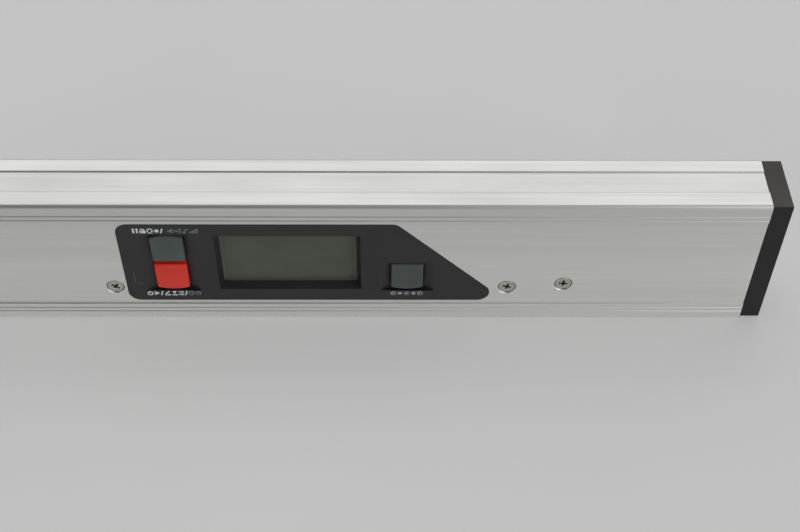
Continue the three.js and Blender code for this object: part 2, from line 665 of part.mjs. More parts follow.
function displayBezel() {
  const flange = rectangle(
    panelScrews[0].x - BEZEL_FLANGE_OVERHANG,
    panelScrews[1].x + BEZEL_FLANGE_OVERHANG,
    cavityBottom + BEZEL_FLANGE_MARGIN,
    cavityTop - BEZEL_FLANGE_MARGIN,
    PLATE_RADIUS,
  );
  let body = join(
    prismY(panelOutline(0), faceY, bezelBackY - LAP),
    prismY(flange, bezelFlangeY, bezelBackY),
  );
  const bossBackY = faceY + M3_SINK + M3_LENGTH + THROUGH;
  for (const { x, z } of panelScrews) {
    body = join(body, rodY(BOSS_RADIUS, bezelBackY - LAP, bossBackY, x, z));
    body = cut(body, rodY(M3_RADIUS + ROUND_GAP, faceY, bossBackY + THROUGH, x, z));
  }
  for (const { x, z } of housingPosts) {
    const postBackY = housingInnerY - SEAT_GAP;
    body = join(body, rodY(POST_RADIUS, bezelBackY - LAP, postBackY, x, z));
    const pilotY = postBackY - M2_LENGTH;
    body = cut(body, rodY(M2_RADIUS + ROUND_GAP, pilotY, postBackY + THROUGH, x, z));
  }
  for (const { x, z } of boardPosts) {
    const postBackY = boardY - SEAT_GAP;
    body = join(body, rodY(M2_HEAD_RADIUS, bezelBackY - LAP, postBackY, x, z));
    body = cut(body, rodY(M2_RADIUS + ROUND_GAP, bezelBackY, postBackY + THROUGH, x, z));
  }
  const lightWellTop = lowerButtonZ + buttonHeight / 2 + WELL_END_GAP;
  const windowSeat = rectangle(
    displayX - lcdHalf - FIT_GAP, displayX + lcdHalf + FIT_GAP,
    lcdBottom - FIT_GAP, lcdTop + FIT_GAP, SEAT_RADIUS);
  return cut(
    body,
    wellCutter(leftButtonsX, wellBottom, wellTop),
    wellCutter(lightButtonX, wellBottom, lightWellTop),
    displayOpeningCutter(),
    prismY(windowSeat, windowY - SEAT_GAP, bezelBackY + THROUGH),
    ...buttons.map((button) =>
      prismY(buttonOutline(button, SLIDE_GAP), faceY - THROUGH, bezelBackY + THROUGH)),
  );
}

// A key with a gently crowned face, and a rim that keeps it behind the bezel.
function buttonCap(button) {
  const crownHalf = buttonHeight / 2;
  const crownRadius = (crownHalf ** 2 + BUTTON_CROWN ** 2) / (2 * BUTTON_CROWN);
  const reach = BUTTON_WIDTH / 2 + BUTTON_RIM + THROUGH;
  const crown = rodX(
    crownRadius, button.x - reach, button.x + reach, frontY + crownRadius, button.z, CROWN_SIDES);
  const shaft = prismY(buttonOutline(button, 0), frontY, rimBackY);
  const rim = prismY(buttonOutline(button, BUTTON_RIM), rimFrontY, rimBackY);
  return join(shaft.intersect(crown), rim);
}

const switchBoreY = boardY - SWITCH_FLOOR;

function switchBody({ x, z }) {
  const half = SWITCH_SIZE / 2;
  const shell = box(x - half, x + half, switchY, boardY - SEAT_GAP, z - half, z + half);
  return cut(shell, rodY(PLUNGER_RADIUS + SLIDE_GAP, switchY - THROUGH, switchBoreY, x, z));
}

function switchPlunger({ x, z }) {
  const tipY = rimBackY + SEAT_GAP;
  return rodY(PLUNGER_RADIUS, tipY, switchBoreY - BUTTON_TRAVEL - SLIDE_GAP, x, z);
}

add("display_bezel", displayBezel(), panelPlastic);
for (const button of buttons) {
  const finish = button.name === "power" ? redPlastic : greyPlastic;
  add(`${button.name}_button`, buttonCap(button), finish);
  add(`${button.name}_switch`, switchBody(button), chipPlastic);
  add(`${button.name}_switch_plunger`, switchPlunger(button), housingPlastic);
}

// ---- Display stack --------------------------------------------------------------------------

const lcdLeft = displayX - lcdHalf;
const lcdRight = displayX + lcdHalf;

function displayPlate(fromY, thickness, bottom, top) {
  return prismY(rectangle(lcdLeft, lcdRight, bottom, top, GLASS_RADIUS), fromY, fromY + thickness);
}

function displayFrame() {
  const inner = rectangle(
    lcdLeft - FIT_GAP, lcdRight + FIT_GAP, lcdBottom - FIT_GAP, lcdTop + FIT_GAP, GLASS_RADIUS);
  const rim = FIT_GAP + FRAME_WALL;
  const outer = rectangle(
    lcdLeft - rim, lcdRight + rim, lcdBottom - rim, lcdTop + rim, SEAT_RADIUS);
  return cut(
    prismY(outer, lcdY, boardY - SEAT_GAP),
    prismY(inner, lcdY - THROUGH, boardY + THROUGH),
  );
}

// The light guide lies between the two strips, with a notch for the light at its right end.
function lightGuide() {
  const margin = STRIP_WIDTH + 2 * FIT_GAP;
  const plate = displayPlate(
    lightGuideY, LIGHT_GUIDE_THICKNESS, lcdBottom + margin, lcdTop - margin);
  const half = LED_WIDTH / 2 + FIT_GAP;
  const notch = box(
    lcdRight - LED_LENGTH - FIT_GAP, lcdRight + THROUGH,
    lightGuideY - THROUGH, boardY + THROUGH, panelMiddle - half, panelMiddle + half);
  return cut(plate, notch);
}

function backlightLed() {
  const half = LED_WIDTH / 2;
  return box(
    lcdRight - LED_LENGTH, lcdRight, lightGuideY + SEAT_GAP, boardY - SEAT_GAP,
    panelMiddle - half, panelMiddle + half);
}

function connectorStrip(fromZ) {
  return box(lcdLeft, lcdRight, lightGuideY, boardY - SEAT_GAP, fromZ, fromZ + STRIP_WIDTH);
}

add("display_window", displayPlate(windowY, WINDOW_THICKNESS, lcdBottom, lcdTop), clearPlastic);
add("lcd_panel", displayPlate(lcdY, LCD_THICKNESS, lcdBottom, lcdTop), lcdGlass);
add("display_frame", displayFrame(), housingPlastic);
add("backlight_guide", lightGuide(), frostedPlastic);
add("backlight_led", backlightLed(), frostedPlastic);
add("connector_strip_lower", connectorStrip(lcdBottom), rubber);
add("connector_strip_upper", connectorStrip(lcdTop - STRIP_WIDTH), rubber);

// ---- Circuit board and what is on it --------------------------------------------------------

const boardLeft = leftButtonsX - BOARD_LEFT_MARGIN;
const boardRight = lightButtonX + BOARD_RIGHT_MARGIN;
const partY = boardBackY + SEAT_GAP; // where the parts on the board's back begin

function circuitBoard() {
  const plate = prismY(
    rectangle(
      boardLeft, boardRight, panelBottom + BOARD_STRIP, panelTop - BOARD_STRIP, SEAT_RADIUS),
    boardY, boardBackY);
  const holes = boardPosts.map(({ x, z }) =>
    rodY(M2_RADIUS + ROUND_GAP, boardY - THROUGH, boardBackY + THROUGH, x, z));
  return cut(plate, ...holes);
}

// A flat chip with a row of leads on each of its four sides.
function microcontroller(x, z) {
  const half = CHIP.size / 2;
  const bodyY = partY + CHIP.standoff;
  let body = box(x - half, x + half, bodyY, bodyY + CHIP.height, z - half, z + half);
  for (let i = 0; i < CHIP_LEADS.perSide; i += 1) {
    const place = (i - (CHIP_LEADS.perSide - 1) / 2) * CHIP_LEADS.pitch;
    const reach = half + CHIP_LEADS.reach;
    const low = place - CHIP_LEADS.width / 2;
    const high = place + CHIP_LEADS.width / 2;
    const leadY = partY + CHIP_LEADS.thickness;
    body = join(
      body,
      box(x - reach, x + reach, partY, leadY, z + low, z + high),
      box(x + low, x + high, partY, leadY, z - reach, z + reach),
    );
  }
  return body;
}

function clockCrystal(x, z) {
  const halfLength = CRYSTAL.length / 2;
  const halfWidth = CRYSTAL.width / 2;
  const outline = rectangle(
    x - halfLength, x + halfLength, z - halfWidth, z + halfWidth, CRYSTAL.radius);
  return prismY(outline, partY, partY + CRYSTAL.height);
}

function tiltSensor(x, z) {
  const half = TILT_SENSOR.size / 2;
  return box(x - half, x + half, partY, partY + TILT_SENSOR.height, z - half, z + half);
}

function buzzer(x, z) {
  const topY = partY + COMPONENT_HEIGHT - BUZZER.headroom;
  return cut(
    rodY(BUZZER.radius, partY, topY, x, z),
    rodY(BUZZER.holeRadius, topY - BUZZER.holeDepth, topY + THROUGH, x, z),
  );
}

const socketX = boardRight - SOCKET.fromBoardEnd;
const socketMouthX = socketX + SOCKET.size / 2;
const socketSlotX = socketMouthX - SOCKET_SLOT.depth;
const socketSlotY = partY + SOCKET_SLOT.floor;
const socketSlotHalf = SOCKET.size / 2 - SOCKET.wall;
const plugEnd = socketMouthX + PLUG_OVERHANG;
const plugY = socketSlotY + SOCKET_SLOT.height / 2;

function batterySocket() {
  const half = SOCKET.size / 2;
  const shell = box(
    socketX - half, socketMouthX, partY, partY + SOCKET.height,
    panelMiddle - half, panelMiddle + half);
  const slot = box(
    socketSlotX, socketMouthX + THROUGH, socketSlotY, socketSlotY + SOCKET_SLOT.height,
    panelMiddle - socketSlotHalf, panelMiddle + socketSlotHalf);
  return cut(shell, slot);
}

function batteryPlug() {
  const half = socketSlotHalf - FIT_GAP;
  return box(
    socketSlotX + FIT_GAP, plugEnd,
    socketSlotY + FIT_GAP, socketSlotY + SOCKET_SLOT.height - FIT_GAP,
    panelMiddle - half, panelMiddle + half);
}

const chipX = displayX + CHIP.fromDisplay;

add("circuit_board", circuitBoard(), boardLaminate);
add("microcontroller", microcontroller(chipX, panelMiddle), chipPlastic);
add("tilt_sensor", tiltSensor(displayX + TILT_SENSOR.fromDisplay, panelMiddle), chipPlastic);
add("clock_crystal", clockCrystal(chipX, panelMiddle - CRYSTAL.belowChip), nickel);
add("buzzer", buzzer(displayX + BUZZER.fromDisplay, panelMiddle), chipPlastic);
add("battery_socket", batterySocket(), frostedPlastic);
add("battery_plug", batteryPlug(), frostedPlastic);
boardPosts.forEach(({ x, z }, i) => {
  add(`board_screw_${i + 1}`, panScrew(x, z, boardBackY, M2_LENGTH), steel);
});

// ---- Rear housing ---------------------------------------------------------------------------

function rearHousing() {
  const outer = rectangle(housingLeft, housingRight, housingBottom, housingTop, PLATE_RADIUS);
  const inner = rectangle(
    housingLeft + HOUSING_WALL, housingRight - HOUSING_WALL,
    housingBottom + HOUSING_WALL, housingTop - HOUSING_WALL, SEAT_RADIUS);
  const screwHoles = housingPosts.map(({ x, z }) =>
    rodY(M2_RADIUS + ROUND_GAP, housingInnerY - THROUGH, housingBackY + THROUGH, x, z));
  const leadNotch = box(
    housingRight - HOUSING_WALL - THROUGH, housingRight + THROUGH,
    plugY - LEAD_NOTCH.depth / 2, plugY + LEAD_NOTCH.depth / 2,
    panelMiddle - LEAD_NOTCH.height / 2, panelMiddle + LEAD_NOTCH.height / 2);
  const buzzerX = displayX + BUZZER.fromDisplay;
  const soundSlots = [];
  for (let i = 0; i < SOUND_SLOTS.count; i += 1) {
    const z = panelMiddle + (i - (SOUND_SLOTS.count - 1) / 2) * SOUND_SLOTS.pitch;
    soundSlots.push(box(
      buzzerX - SOUND_SLOTS.length / 2, buzzerX + SOUND_SLOTS.length / 2,
      housingInnerY - THROUGH, housingBackY + THROUGH,
      z - SOUND_SLOTS.width / 2, z + SOUND_SLOTS.width / 2));
  }
  return cut(
    prismY(outer, bezelBackY + SEAT_GAP, housingBackY),
    prismY(inner, bezelBackY - THROUGH, housingInnerY),
    ...screwHoles, leadNotch, ...soundSlots,
  );
}

add("rear_housing", rearHousing(), housingPlastic);
housingPosts.forEach(({ x, z }, i) => {
  add(`housing_screw_${i + 1}`, panScrew(x, z, housingBackY, M2_LENGTH), steel);
});
for (const screw of [...panelScrews, holderScrew]) {
  add(screw.name, countersunkScrew(screw, -1), steel);
}

// ---- Battery holder, cells, contacts and leads ----------------------------------------------

const upperCellLeft = pocketLeft + PLATE_GAP;
const lowerCellLeft = pocketLeft + SPRING_GAP;
const leadHoleY = cellY + CELL_RADIUS - LEAD_HOLE_DEPTH;

function batteryHolder() {
  const dividerHalf = cellPitch / 2 - CELL_RADIUS - ROUND_GAP;
  const boss = rodY(BOSS_RADIUS, bezelFlangeY, holderFrontY + LAP, holderScrew.x, holderScrew.z);
  const farFoot = box(
    pocketRight - FOOT_LENGTH, pocketRight, bezelFlangeY, holderFrontY + LAP,
    bayMiddle - holderHalf, bayMiddle + holderHalf);
  const shell = box(
    bayLeft + FIT_GAP, holderRight - FIT_GAP, holderFrontY, holderBackY,
    bayMiddle - holderHalf, bayMiddle + holderHalf);
  const pocket = box(
    pocketLeft, pocketRight, pocketFloorY, holderBackY + THROUGH,
    bayMiddle - pocketHalf, bayMiddle + pocketHalf);
  const dividerGap = SPRING_GAP + DIVIDER_END_GAP;
  const divider = box(
    pocketLeft + dividerGap, pocketRight - dividerGap, pocketFloorY - LAP, cellY,
    bayMiddle - dividerHalf, bayMiddle + dividerHalf);
  const saddles = [upperCellZ, lowerCellZ].map((z) =>
    rodX(CELL_RADIUS + ROUND_GAP, pocketLeft, pocketRight, cellY, z));
  const leadHoles = [upperCellZ, lowerCellZ].map((z) =>
    rodX(
      LEAD_RADIUS + ROUND_GAP, bayLeft - THROUGH, pocketLeft + THROUGH,
      leadHoleY, z, LEAD_HOLE_SIDES));
  const postHollow = box(
    pocketRight + HOLDER_WALL, holderRight - HOLDER_WALL, holderFrontY + HOLDER_WALL,
    holderBackY + THROUGH, bayMiddle - pocketHalf, bayMiddle + pocketHalf);
  const post = rodY(BOSS_RADIUS, holderFrontY + LAP, holderBackY, coverPostX, bayMiddle);
  const postHole = rodY(
    M3_RADIUS + ROUND_GAP, holderFrontY + HOLDER_WALL, holderBackY + THROUGH, coverPostX, bayMiddle);
  const screwHole = rodY(
    M3_RADIUS + ROUND_GAP, faceY, faceY + M3_SINK + M3_LENGTH + LAP, holderScrew.x, holderScrew.z);
  const hollowed = cut(join(shell, boss, farFoot), pocket, ...saddles, ...leadHoles, postHollow);
  return cut(join(hollowed, divider, post), postHole, screwHole);
}

// plusSide is the direction of the cell's plus end, -1 for left.
function cell(left, z, plusSide) {
  const right = left + CELL_LENGTH;
  const bodyLeft = plusSide < 0 ? left + CELL_NUB_LENGTH : left;
  const bodyRight = plusSide < 0 ? right : right - CELL_NUB_LENGTH;
  return join(
    rodX(CELL_RADIUS, bodyLeft, bodyRight, cellY, z),
    rodX(CELL_NUB_RADIUS, left, right, cellY, z),
  );
}

// A conical coil of wire from a contact plate to the minus end of a cell.
class ConeCoil extends THREE.Curve {
  constructor(fromX, toX, z) {
    super();
    this.fromX = fromX;
    this.toX = toX;
    this.z = z;
  }

  getPoint(t, target = new THREE.Vector3()) {
    const radius = THREE.MathUtils.lerp(SPRING.rootRadius, SPRING.tipRadius, t);
    const angle = SPRING.turns * 2 * Math.PI * t;
    const x = THREE.MathUtils.lerp(this.fromX, this.toX, t);
    return target.set(x, cellY + radius * Math.cos(angle), this.z + radius * Math.sin(angle));
  }
}

const contactHalf = CONTACT_SIZE / 2;
const contactFrontY = pocketFloorY + SEAT_GAP;
const contactBackY = cellY + contactHalf;

function contactPlate(side, fromZ, toZ) {
  const wallX = side < 0 ? pocketLeft : pocketRight;
  const nearX = wallX - side * SEAT_GAP;
  const farX = nearX - side * CONTACT_THICKNESS;
  const outline = rectangle(contactFrontY, contactBackY, fromZ, toZ, CONTACT_RADIUS);
  return prismX(outline, Math.min(nearX, farX), Math.max(nearX, farX));
}

function contactSpring(side, z) {
  const wallX = side < 0 ? pocketLeft : pocketRight;
  const rootX = wallX - side * (SEAT_GAP + CONTACT_THICKNESS / 2);
  const tipX = wallX - side * (SPRING_GAP - SPRING_WIRE_RADIUS - ROUND_GAP);
  return wire(new ConeCoil(rootX, tipX, z), SPRING_WIRE_RADIUS, SPRING.steps, SPRING.sides);
}

// A lead from the plug on the circuit board to a contact, through the housing's notch.
function batteryLead(spread, z) {
  const start = new THREE.Vector3(plugEnd + ROUND_GAP, plugY, panelMiddle + spread);
  const end = new THREE.Vector3(pocketLeft - SEAT_GAP, leadHoleY, z);
  const middleX = (housingRight + bayLeft) / 2;
  const curve = new THREE.CatmullRomCurve3([
    start,
    new THREE.Vector3(housingRight - 2, plugY, panelMiddle + spread),
    new THREE.Vector3(housingRight + 3, plugY, panelMiddle + spread),
    new THREE.Vector3(middleX, (plugY + leadHoleY) / 2, (panelMiddle + spread + z) / 2),
    new THREE.Vector3(bayLeft - 4, leadHoleY, z),
    new THREE.Vector3(bayLeft, leadHoleY, z),
    end,
  ]);
  return wire(curve, LEAD_RADIUS, LEAD_STEPS, LEAD_SIDES);
}

add("battery_holder", batteryHolder(), housingPlastic);
add("battery_upper", cell(upperCellLeft, upperCellZ, -1), cellJacket);
add("battery_lower", cell(lowerCellLeft, lowerCellZ, 1), cellJacket);
add(
  "positive_contact",
  contactPlate(-1, upperCellZ - contactHalf, upperCellZ + contactHalf),
  nickel,
);
add(
  "negative_contact",
  join(
    contactPlate(-1, lowerCellZ - contactHalf, lowerCellZ + contactHalf),
    contactSpring(-1, lowerCellZ),
  ),
  nickel,
);
add(
  "bridge_contact",
  join(
    contactPlate(1, lowerCellZ - contactHalf, upperCellZ + contactHalf),
    contactSpring(1, upperCellZ),
  ),
  nickel,
);
add("battery_lead_red", batteryLead(LEAD_SPREAD, upperCellZ), redLead);
add("battery_lead_black", batteryLead(-LEAD_SPREAD, lowerCellZ), blackLead);

// ---- Battery cover --------------------------------------------------------------------------

const coverScrew = { x: coverPostX, z: bayMiddle };

function batteryCover() {
  const coverY = -faceY;
  const plate = prismY(coverOutline(0), coverY - SIDE_WALL, coverY);
  const ribHalf = (pocketHalf - FIT_GAP) / 2;
  const cellRib = box(
    pocketLeft + COVER_RIB_MARGIN, pocketRight - COVER_RIB_MARGIN,
    holderBackY + SEAT_GAP, coverY - SIDE_WALL + LAP, bayMiddle - ribHalf, bayMiddle + ribHalf);
  let body = join(plate, cellRib);
  for (let i = 0; i < GRIP.ridges; i += 1) {
    const x = pocketLeft + GRIP.start + i * GRIP.pitch;
    const ridge = rectangle(
      x, x + GRIP.width, bayMiddle - GRIP.length / 2, bayMiddle + GRIP.length / 2, GRIP.radius);
    body = join(body, prismY(ridge, coverY - LAP, coverY + GRIP.height));
  }
  return cut(body, countersink(coverScrew, 1));
}

add("battery_cover", batteryCover(), blackPlastic);
add("battery_cover_screw", countersunkScrew(coverScrew, 1), steel);

export default level;
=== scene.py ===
"""Digital level: fine meshes, printed marks, materials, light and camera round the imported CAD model.

Sizes are in millimetres, turned into metres by MM. Places come from the frame.
"""
import json
import math

import bmesh
import bpy
from mathutils import Matrix, Vector


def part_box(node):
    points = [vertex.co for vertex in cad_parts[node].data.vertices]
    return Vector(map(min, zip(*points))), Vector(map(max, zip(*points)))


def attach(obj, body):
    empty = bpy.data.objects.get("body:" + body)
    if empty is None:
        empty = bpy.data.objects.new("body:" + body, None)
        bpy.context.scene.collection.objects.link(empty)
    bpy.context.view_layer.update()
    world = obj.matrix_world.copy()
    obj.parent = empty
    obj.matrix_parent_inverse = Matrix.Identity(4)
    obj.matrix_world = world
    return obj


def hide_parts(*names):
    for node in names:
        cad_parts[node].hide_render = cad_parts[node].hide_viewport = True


MM = 0.001

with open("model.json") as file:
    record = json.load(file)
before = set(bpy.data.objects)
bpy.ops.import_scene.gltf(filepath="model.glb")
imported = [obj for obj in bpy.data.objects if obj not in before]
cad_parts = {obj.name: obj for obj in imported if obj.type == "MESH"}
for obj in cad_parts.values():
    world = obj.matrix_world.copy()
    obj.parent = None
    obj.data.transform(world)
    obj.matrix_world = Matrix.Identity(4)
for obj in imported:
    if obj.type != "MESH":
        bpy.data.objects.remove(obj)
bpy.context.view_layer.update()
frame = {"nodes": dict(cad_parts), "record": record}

# ---- Camera ---------------------------------------------------------------------------------

CAMERA_PLACE = Vector((59.25, -323.75, 377.56)) * MM
CAMERA_PITCH = math.radians(48.17)  # below the horizon
CAMERA_YAW = math.radians(-0.77)
CAMERA_ROLL = math.radians(0.61)
CAMERA_LENS = 57.945
CAMERA_SENSOR = 36


def add_camera():
    data = bpy.data.cameras.new("camera")
    data.lens = CAMERA_LENS
    data.sensor_width = CAMERA_SENSOR
    camera = bpy.data.objects.new("camera", data)
    turn = Matrix.Rotation(CAMERA_YAW, 4, "Z")
    turn @= Matrix.Rotation(math.pi / 2 - CAMERA_PITCH, 4, "X")
    turn @= Matrix.Rotation(CAMERA_ROLL, 4, "Z")
    camera.matrix_world = Matrix.Translation(CAMERA_PLACE) @ turn
    bpy.context.scene.collection.objects.link(camera)
    bpy.context.scene.camera = camera


add_camera()

# ---- Material nodes -------------------------------------------------------------------------


class Finish:
    """A material with a Principled shader, and short calls that add the nodes behind it."""

    def __init__(self, name, color, roughness, metallic=0.0, **fixed):
        self.material = bpy.data.materials.new(name)
        self.material.use_nodes = True
        self.tree = self.material.node_tree
        self.shader = self.tree.nodes["Principled BSDF"]
        self.coordinates = self.add("ShaderNodeTexCoord").outputs["Object"]
        self.color = (*color, 1.0)
        self.put("Base Color", self.color)
        self.put("Roughness", roughness)
        self.put("Metallic", metallic)
        for socket, value in fixed.items():
            self.put(socket.replace("_", " "), value)

    def add(self, kind, inputs=None, **settings):
        """A new node. inputs gives a value or a link for each socket's name or number."""
        node = self.tree.nodes.new(kind)
        for key, value in settings.items():
            setattr(node, key, value)
        for socket, value in (inputs or {}).items():
            self.feed(node.inputs[socket], value)
        return node

    def feed(self, socket, value):
        if isinstance(value, bpy.types.NodeSocket):
            self.tree.links.new(value, socket)
        else:
            socket.default_value = value

    def put(self, socket, value):
        self.feed(self.shader.inputs[socket], value)

    def math(self, operation, *values):
        return self.add("ShaderNodeMath", dict(enumerate(values)), operation=operation).outputs[0]

    def spread(self, value, low, high, start=0.0, end=1.0):
        """value, from low to high, as a number from start to end."""
        inputs = {0: value, 1: low, 2: high, 3: start, 4: end}
        return self.add("ShaderNodeMapRange", inputs).outputs[0]

    def noise(self, size, detail=2.0, place=(0, 0, 0)):
        """Noise from 0 to 1. size is in millimetres, one number or one for each axis."""
        sizes = size if isinstance(size, tuple) else (size, size, size)
        scale = tuple(1 / (s * MM) for s in sizes)
        inputs = {"Vector": self.coordinates, "Scale": scale, "Location": place}
        mapped = self.add("ShaderNodeMapping", inputs).outputs[0]
        inputs = {"Vector": mapped, "Scale": 1.0, "Detail": detail}
        return self.add("ShaderNodeTexNoise", inputs).outputs["Fac"]

    def cells(self, size):
        """Distance from the middle of a scattered cell. size is in millimetres."""
        inputs = {"Vector": self.coordinates, "Scale": 1 / (size * MM)}
        return self.add("ShaderNodeTexVoronoi", inputs).outputs["Distance"]

    def mix(self, share, first, second):
        """The first colour where share is 0 and the second where it is 1."""
        node = self.add("ShaderNodeMix", data_type="RGBA")
        self.feed(node.inputs[0], share)
        for socket, color in ((6, first), (7, second)):
            if isinstance(color, tuple) and len(color) == 3:
                color = (*color, 1.0)
            self.feed(node.inputs[socket], color)
        return node.outputs[2]

    def bump(self, height, distance, normal=None):
        """A bumped normal. distance is the height's full travel in millimetres."""
        inputs = {"Height": height, "Distance": distance * MM, "Strength": 1.0}
        if normal:
            inputs["Normal"] = normal
        return self.add("ShaderNodeBump", inputs).outputs[0]

    def edges(self, radius, spread=0.06):
        """1 on convex and concave edges and 0 away from them. radius is in millimetres."""
        rounded = self.add("ShaderNodeBevel", {"Radius": radius * MM}, samples=4).outputs[0]
        flat = self.add("ShaderNodeNewGeometry").outputs["Normal"]
        dot = self.add("ShaderNodeVectorMath", {0: rounded, 1: flat}, operation="DOT_PRODUCT")
        return self.spread(dot.outputs["Value"], 1.0, 1.0 - spread)

    def axis(self, name):
        """The object's own X, Y or Z, in metres."""
        split = self.add("ShaderNodeSeparateXYZ", {0: self.coordinates})
        return split.outputs[name]

    def within(self, axis, low, high, blur):
        """1 between low and high along an axis, all in metres, and 0 outside."""
        value = self.axis(axis)
        rise = self.spread(value, low - blur / 2, low + blur / 2)
        fall = self.spread(value, high - blur / 2, high + blur / 2, 1.0, 0.0)
        return self.math("MULTIPLY", rise, fall)


# ---- Materials ------------------------------------------------------------------------------

# Painted shade towards the top of the sides: how far it darkens them, and from which height to which
TOP_SHADE_SHARE = 0.26
TOP_SHADE_START = 24 * MM  # height at which the painted shade towards the top of the sides begins
TOP_SHADE_END = 58 * MM
CHANNEL_NEAR = -4.6 * MM
CHANNEL_FAR = 5.6 * MM
# width of the painted shade line along the channel's front edge
EDGE_SHADE_WIDTH = 0.3 * MM
SKIN = 0.6 * MM  # how deep under the sides their outer surfaces reach
SIDE_LOW = 10 * MM  # between these heights every hole and opening in the sides lies
SIDE_HIGH = 50 * MM


def anodised_aluminium():
    """Satin clear anodising over an extruded face, with die lines along X."""
    low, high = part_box("beam_extrusion")
    finish = Finish("anodised_aluminium", (0.86, 0.86, 0.835), 0.38, 1.0, Anisotropic=0.45)
    lines = finish.noise((90, 0.45, 0.45), 3)
    bands = finish.noise((400, 3.5, 3.5), 2)
    grain = finish.noise(0.14, 2)
    cloud = finish.noise((45, 14, 14), 3)
    tint = finish.mix(finish.spread(bands, 0.3, 0.7), (0.835, 0.84, 0.812), (0.88, 0.885, 0.857))
    tint = finish.mix(finish.spread(lines, 0.35, 0.7, 0.0, 0.35), tint, (0.765, 0.77, 0.75))
    # Painted shade that darkens both sides towards their top
    on_side = finish.math("SUBTRACT", 1.0, finish.within("Y", low.y + SKIN, high.y - SKIN, 0.1 * MM))
    film = finish.spread(finish.axis("Z"), TOP_SHADE_START, TOP_SHADE_END, 0.0, TOP_SHADE_SHARE)
    tint = finish.mix(finish.math("MULTIPLY", on_side, film), tint, (0.30, 0.30, 0.29))
    # The channel is a little duller than its lands, and a thin line of painted shade lies along its front
    # edge
    on_top = finish.spread(finish.axis("Z"), high.z - 0.8 * MM, high.z - 0.7 * MM)
    channel = finish.within("Y", CHANNEL_NEAR, CHANNEL_FAR, 0.1 * MM)
    tint = finish.mix(finish.math("MULTIPLY", on_top, channel), tint, (0.80, 0.80, 0.775))
    edge_shade_line = finish.within("Y", CHANNEL_NEAR - 1.5 * EDGE_SHADE_WIDTH, CHANNEL_NEAR - 0.5 * EDGE_SHADE_WIDTH, 0.05 * MM)
    tint = finish.mix(finish.math("MULTIPLY", on_top, edge_shade_line), tint, (0.60, 0.60, 0.58))
    # Painted shade inside the holes and openings in the sides
    hole_shade_mask = finish.within("Y", low.y + SKIN, high.y - SKIN, 0.1 * MM)
    side_span = finish.within("Z", SIDE_LOW, SIDE_HIGH, 0.2 * MM)
    tint = finish.mix(finish.math("MULTIPLY", hole_shade_mask, side_span), tint, (0.34, 0.335, 0.32))
    # Grime in the edges, except on the back half of the top
    grime = finish.math("MULTIPLY", finish.edges(0.16, 0.12), finish.spread(cloud, 0.3, 0.7, 0.15, 0.4))
    wiped = finish.math("MULTIPLY", on_top, finish.within("Y", 0.0, high.y - 2 * MM, 0.2 * MM))
    grime = finish.math("MULTIPLY", grime, finish.math("SUBTRACT", 1.0, wiped))
    finish.put("Base Color", finish.mix(grime, tint, (0.42, 0.42, 0.41)))
    rough = finish.spread(lines, 0.3, 0.7, 0.33, 0.43)
    rough = finish.math("ADD", rough, finish.spread(cloud, 0.3, 0.7, -0.03, 0.05))
    finish.put("Roughness", rough)
    normal = finish.bump(lines, 0.006)
    normal = finish.bump(grain, 0.003, normal)
    finish.put("Normal", normal)
    tangent = finish.add("ShaderNodeTangent", direction_type="RADIAL", axis="X")
    finish.put("Tangent", tangent.outputs[0])
    return finish.material


def moulded_plastic(name, color, roughness, grain=0.25, relief=0.02, wear=0.35, dust=None, gloss=0.5):
    """Moulded plastic with a spark-eroded grain, faint clouding and polished edges.

    dust is the colour of what has settled on its upward faces.
    """
    finish = Finish(name, color, roughness, Specular_IOR_Level=gloss)
    pits = finish.cells(grain)
    fine = finish.noise(grain * 0.6, 3)
    cloud = finish.noise(18, 3)
    dark = tuple(c * 0.82 for c in color)
    light = tuple(min(1.0, c * 1.2 + 0.002) for c in color)
    tint = finish.mix(finish.spread(cloud, 0.3, 0.7), dark, light)
    rub = finish.math("MULTIPLY", finish.edges(0.3), finish.spread(fine, 0.35, 0.65, 0.2, wear))
    polished = tuple(min(1.0, c * 1.6 + 0.015) for c in color)
    tint = finish.mix(rub, tint, polished)
    if dust:
        facing = finish.add("ShaderNodeNewGeometry").outputs["Normal"]
        upward = finish.add("ShaderNodeSeparateXYZ", {0: facing}).outputs["Z"]
        patchy = finish.spread(cloud, 0.3, 0.7, 0.6, 1.0)
        tint = finish.mix(finish.math("MULTIPLY", finish.spread(upward, 0.6, 0.98), patchy), tint, dust)
    finish.put("Base Color", tint)
    rough = finish.spread(fine, 0.3, 0.7, roughness - 0.05, roughness + 0.08)
    rough = finish.math("ADD", rough, finish.spread(cloud, 0.3, 0.7, -0.03, 0.03))
    finish.put("Roughness", finish.math("SUBTRACT", rough, finish.math("MULTIPLY", rub, 0.15)))
    normal = finish.bump(pits, relief)
    finish.put("Normal", finish.bump(fine, relief * 0.5, normal))
    return finish.material


def turned_steel(name, color, roughness, face_y=None):
    """Bright metal with short scratches and a patchy film.

    face_y is where the heads of front screws have their faces. Painted shade darkens what lies deeper
    than that.
    """
    finish = Finish(name, color, roughness, 1.0)
    scratches = finish.noise((0.08, 0.6, 1.4), 3)
    film = finish.noise(0.7, 3)
    worn = tuple(c * 0.72 for c in color)
    tint = finish.mix(finish.spread(film, 0.4, 0.75), (*color, 1.0), worn)
    if face_y is not None:
        # Painted shade in the cross recess, below the head's face
        recess_shade = finish.spread(finish.axis("Y"), face_y + 0.03 * MM, face_y + 0.3 * MM)
        tint = finish.mix(recess_shade, tint, (0.055, 0.045, 0.035))
    finish.put("Base Color", tint)
    finish.put("Roughness", finish.spread(scratches, 0.3, 0.7, roughness - 0.06, roughness + 0.14))
    finish.put("Normal", finish.bump(scratches, 0.004))
    return finish.material


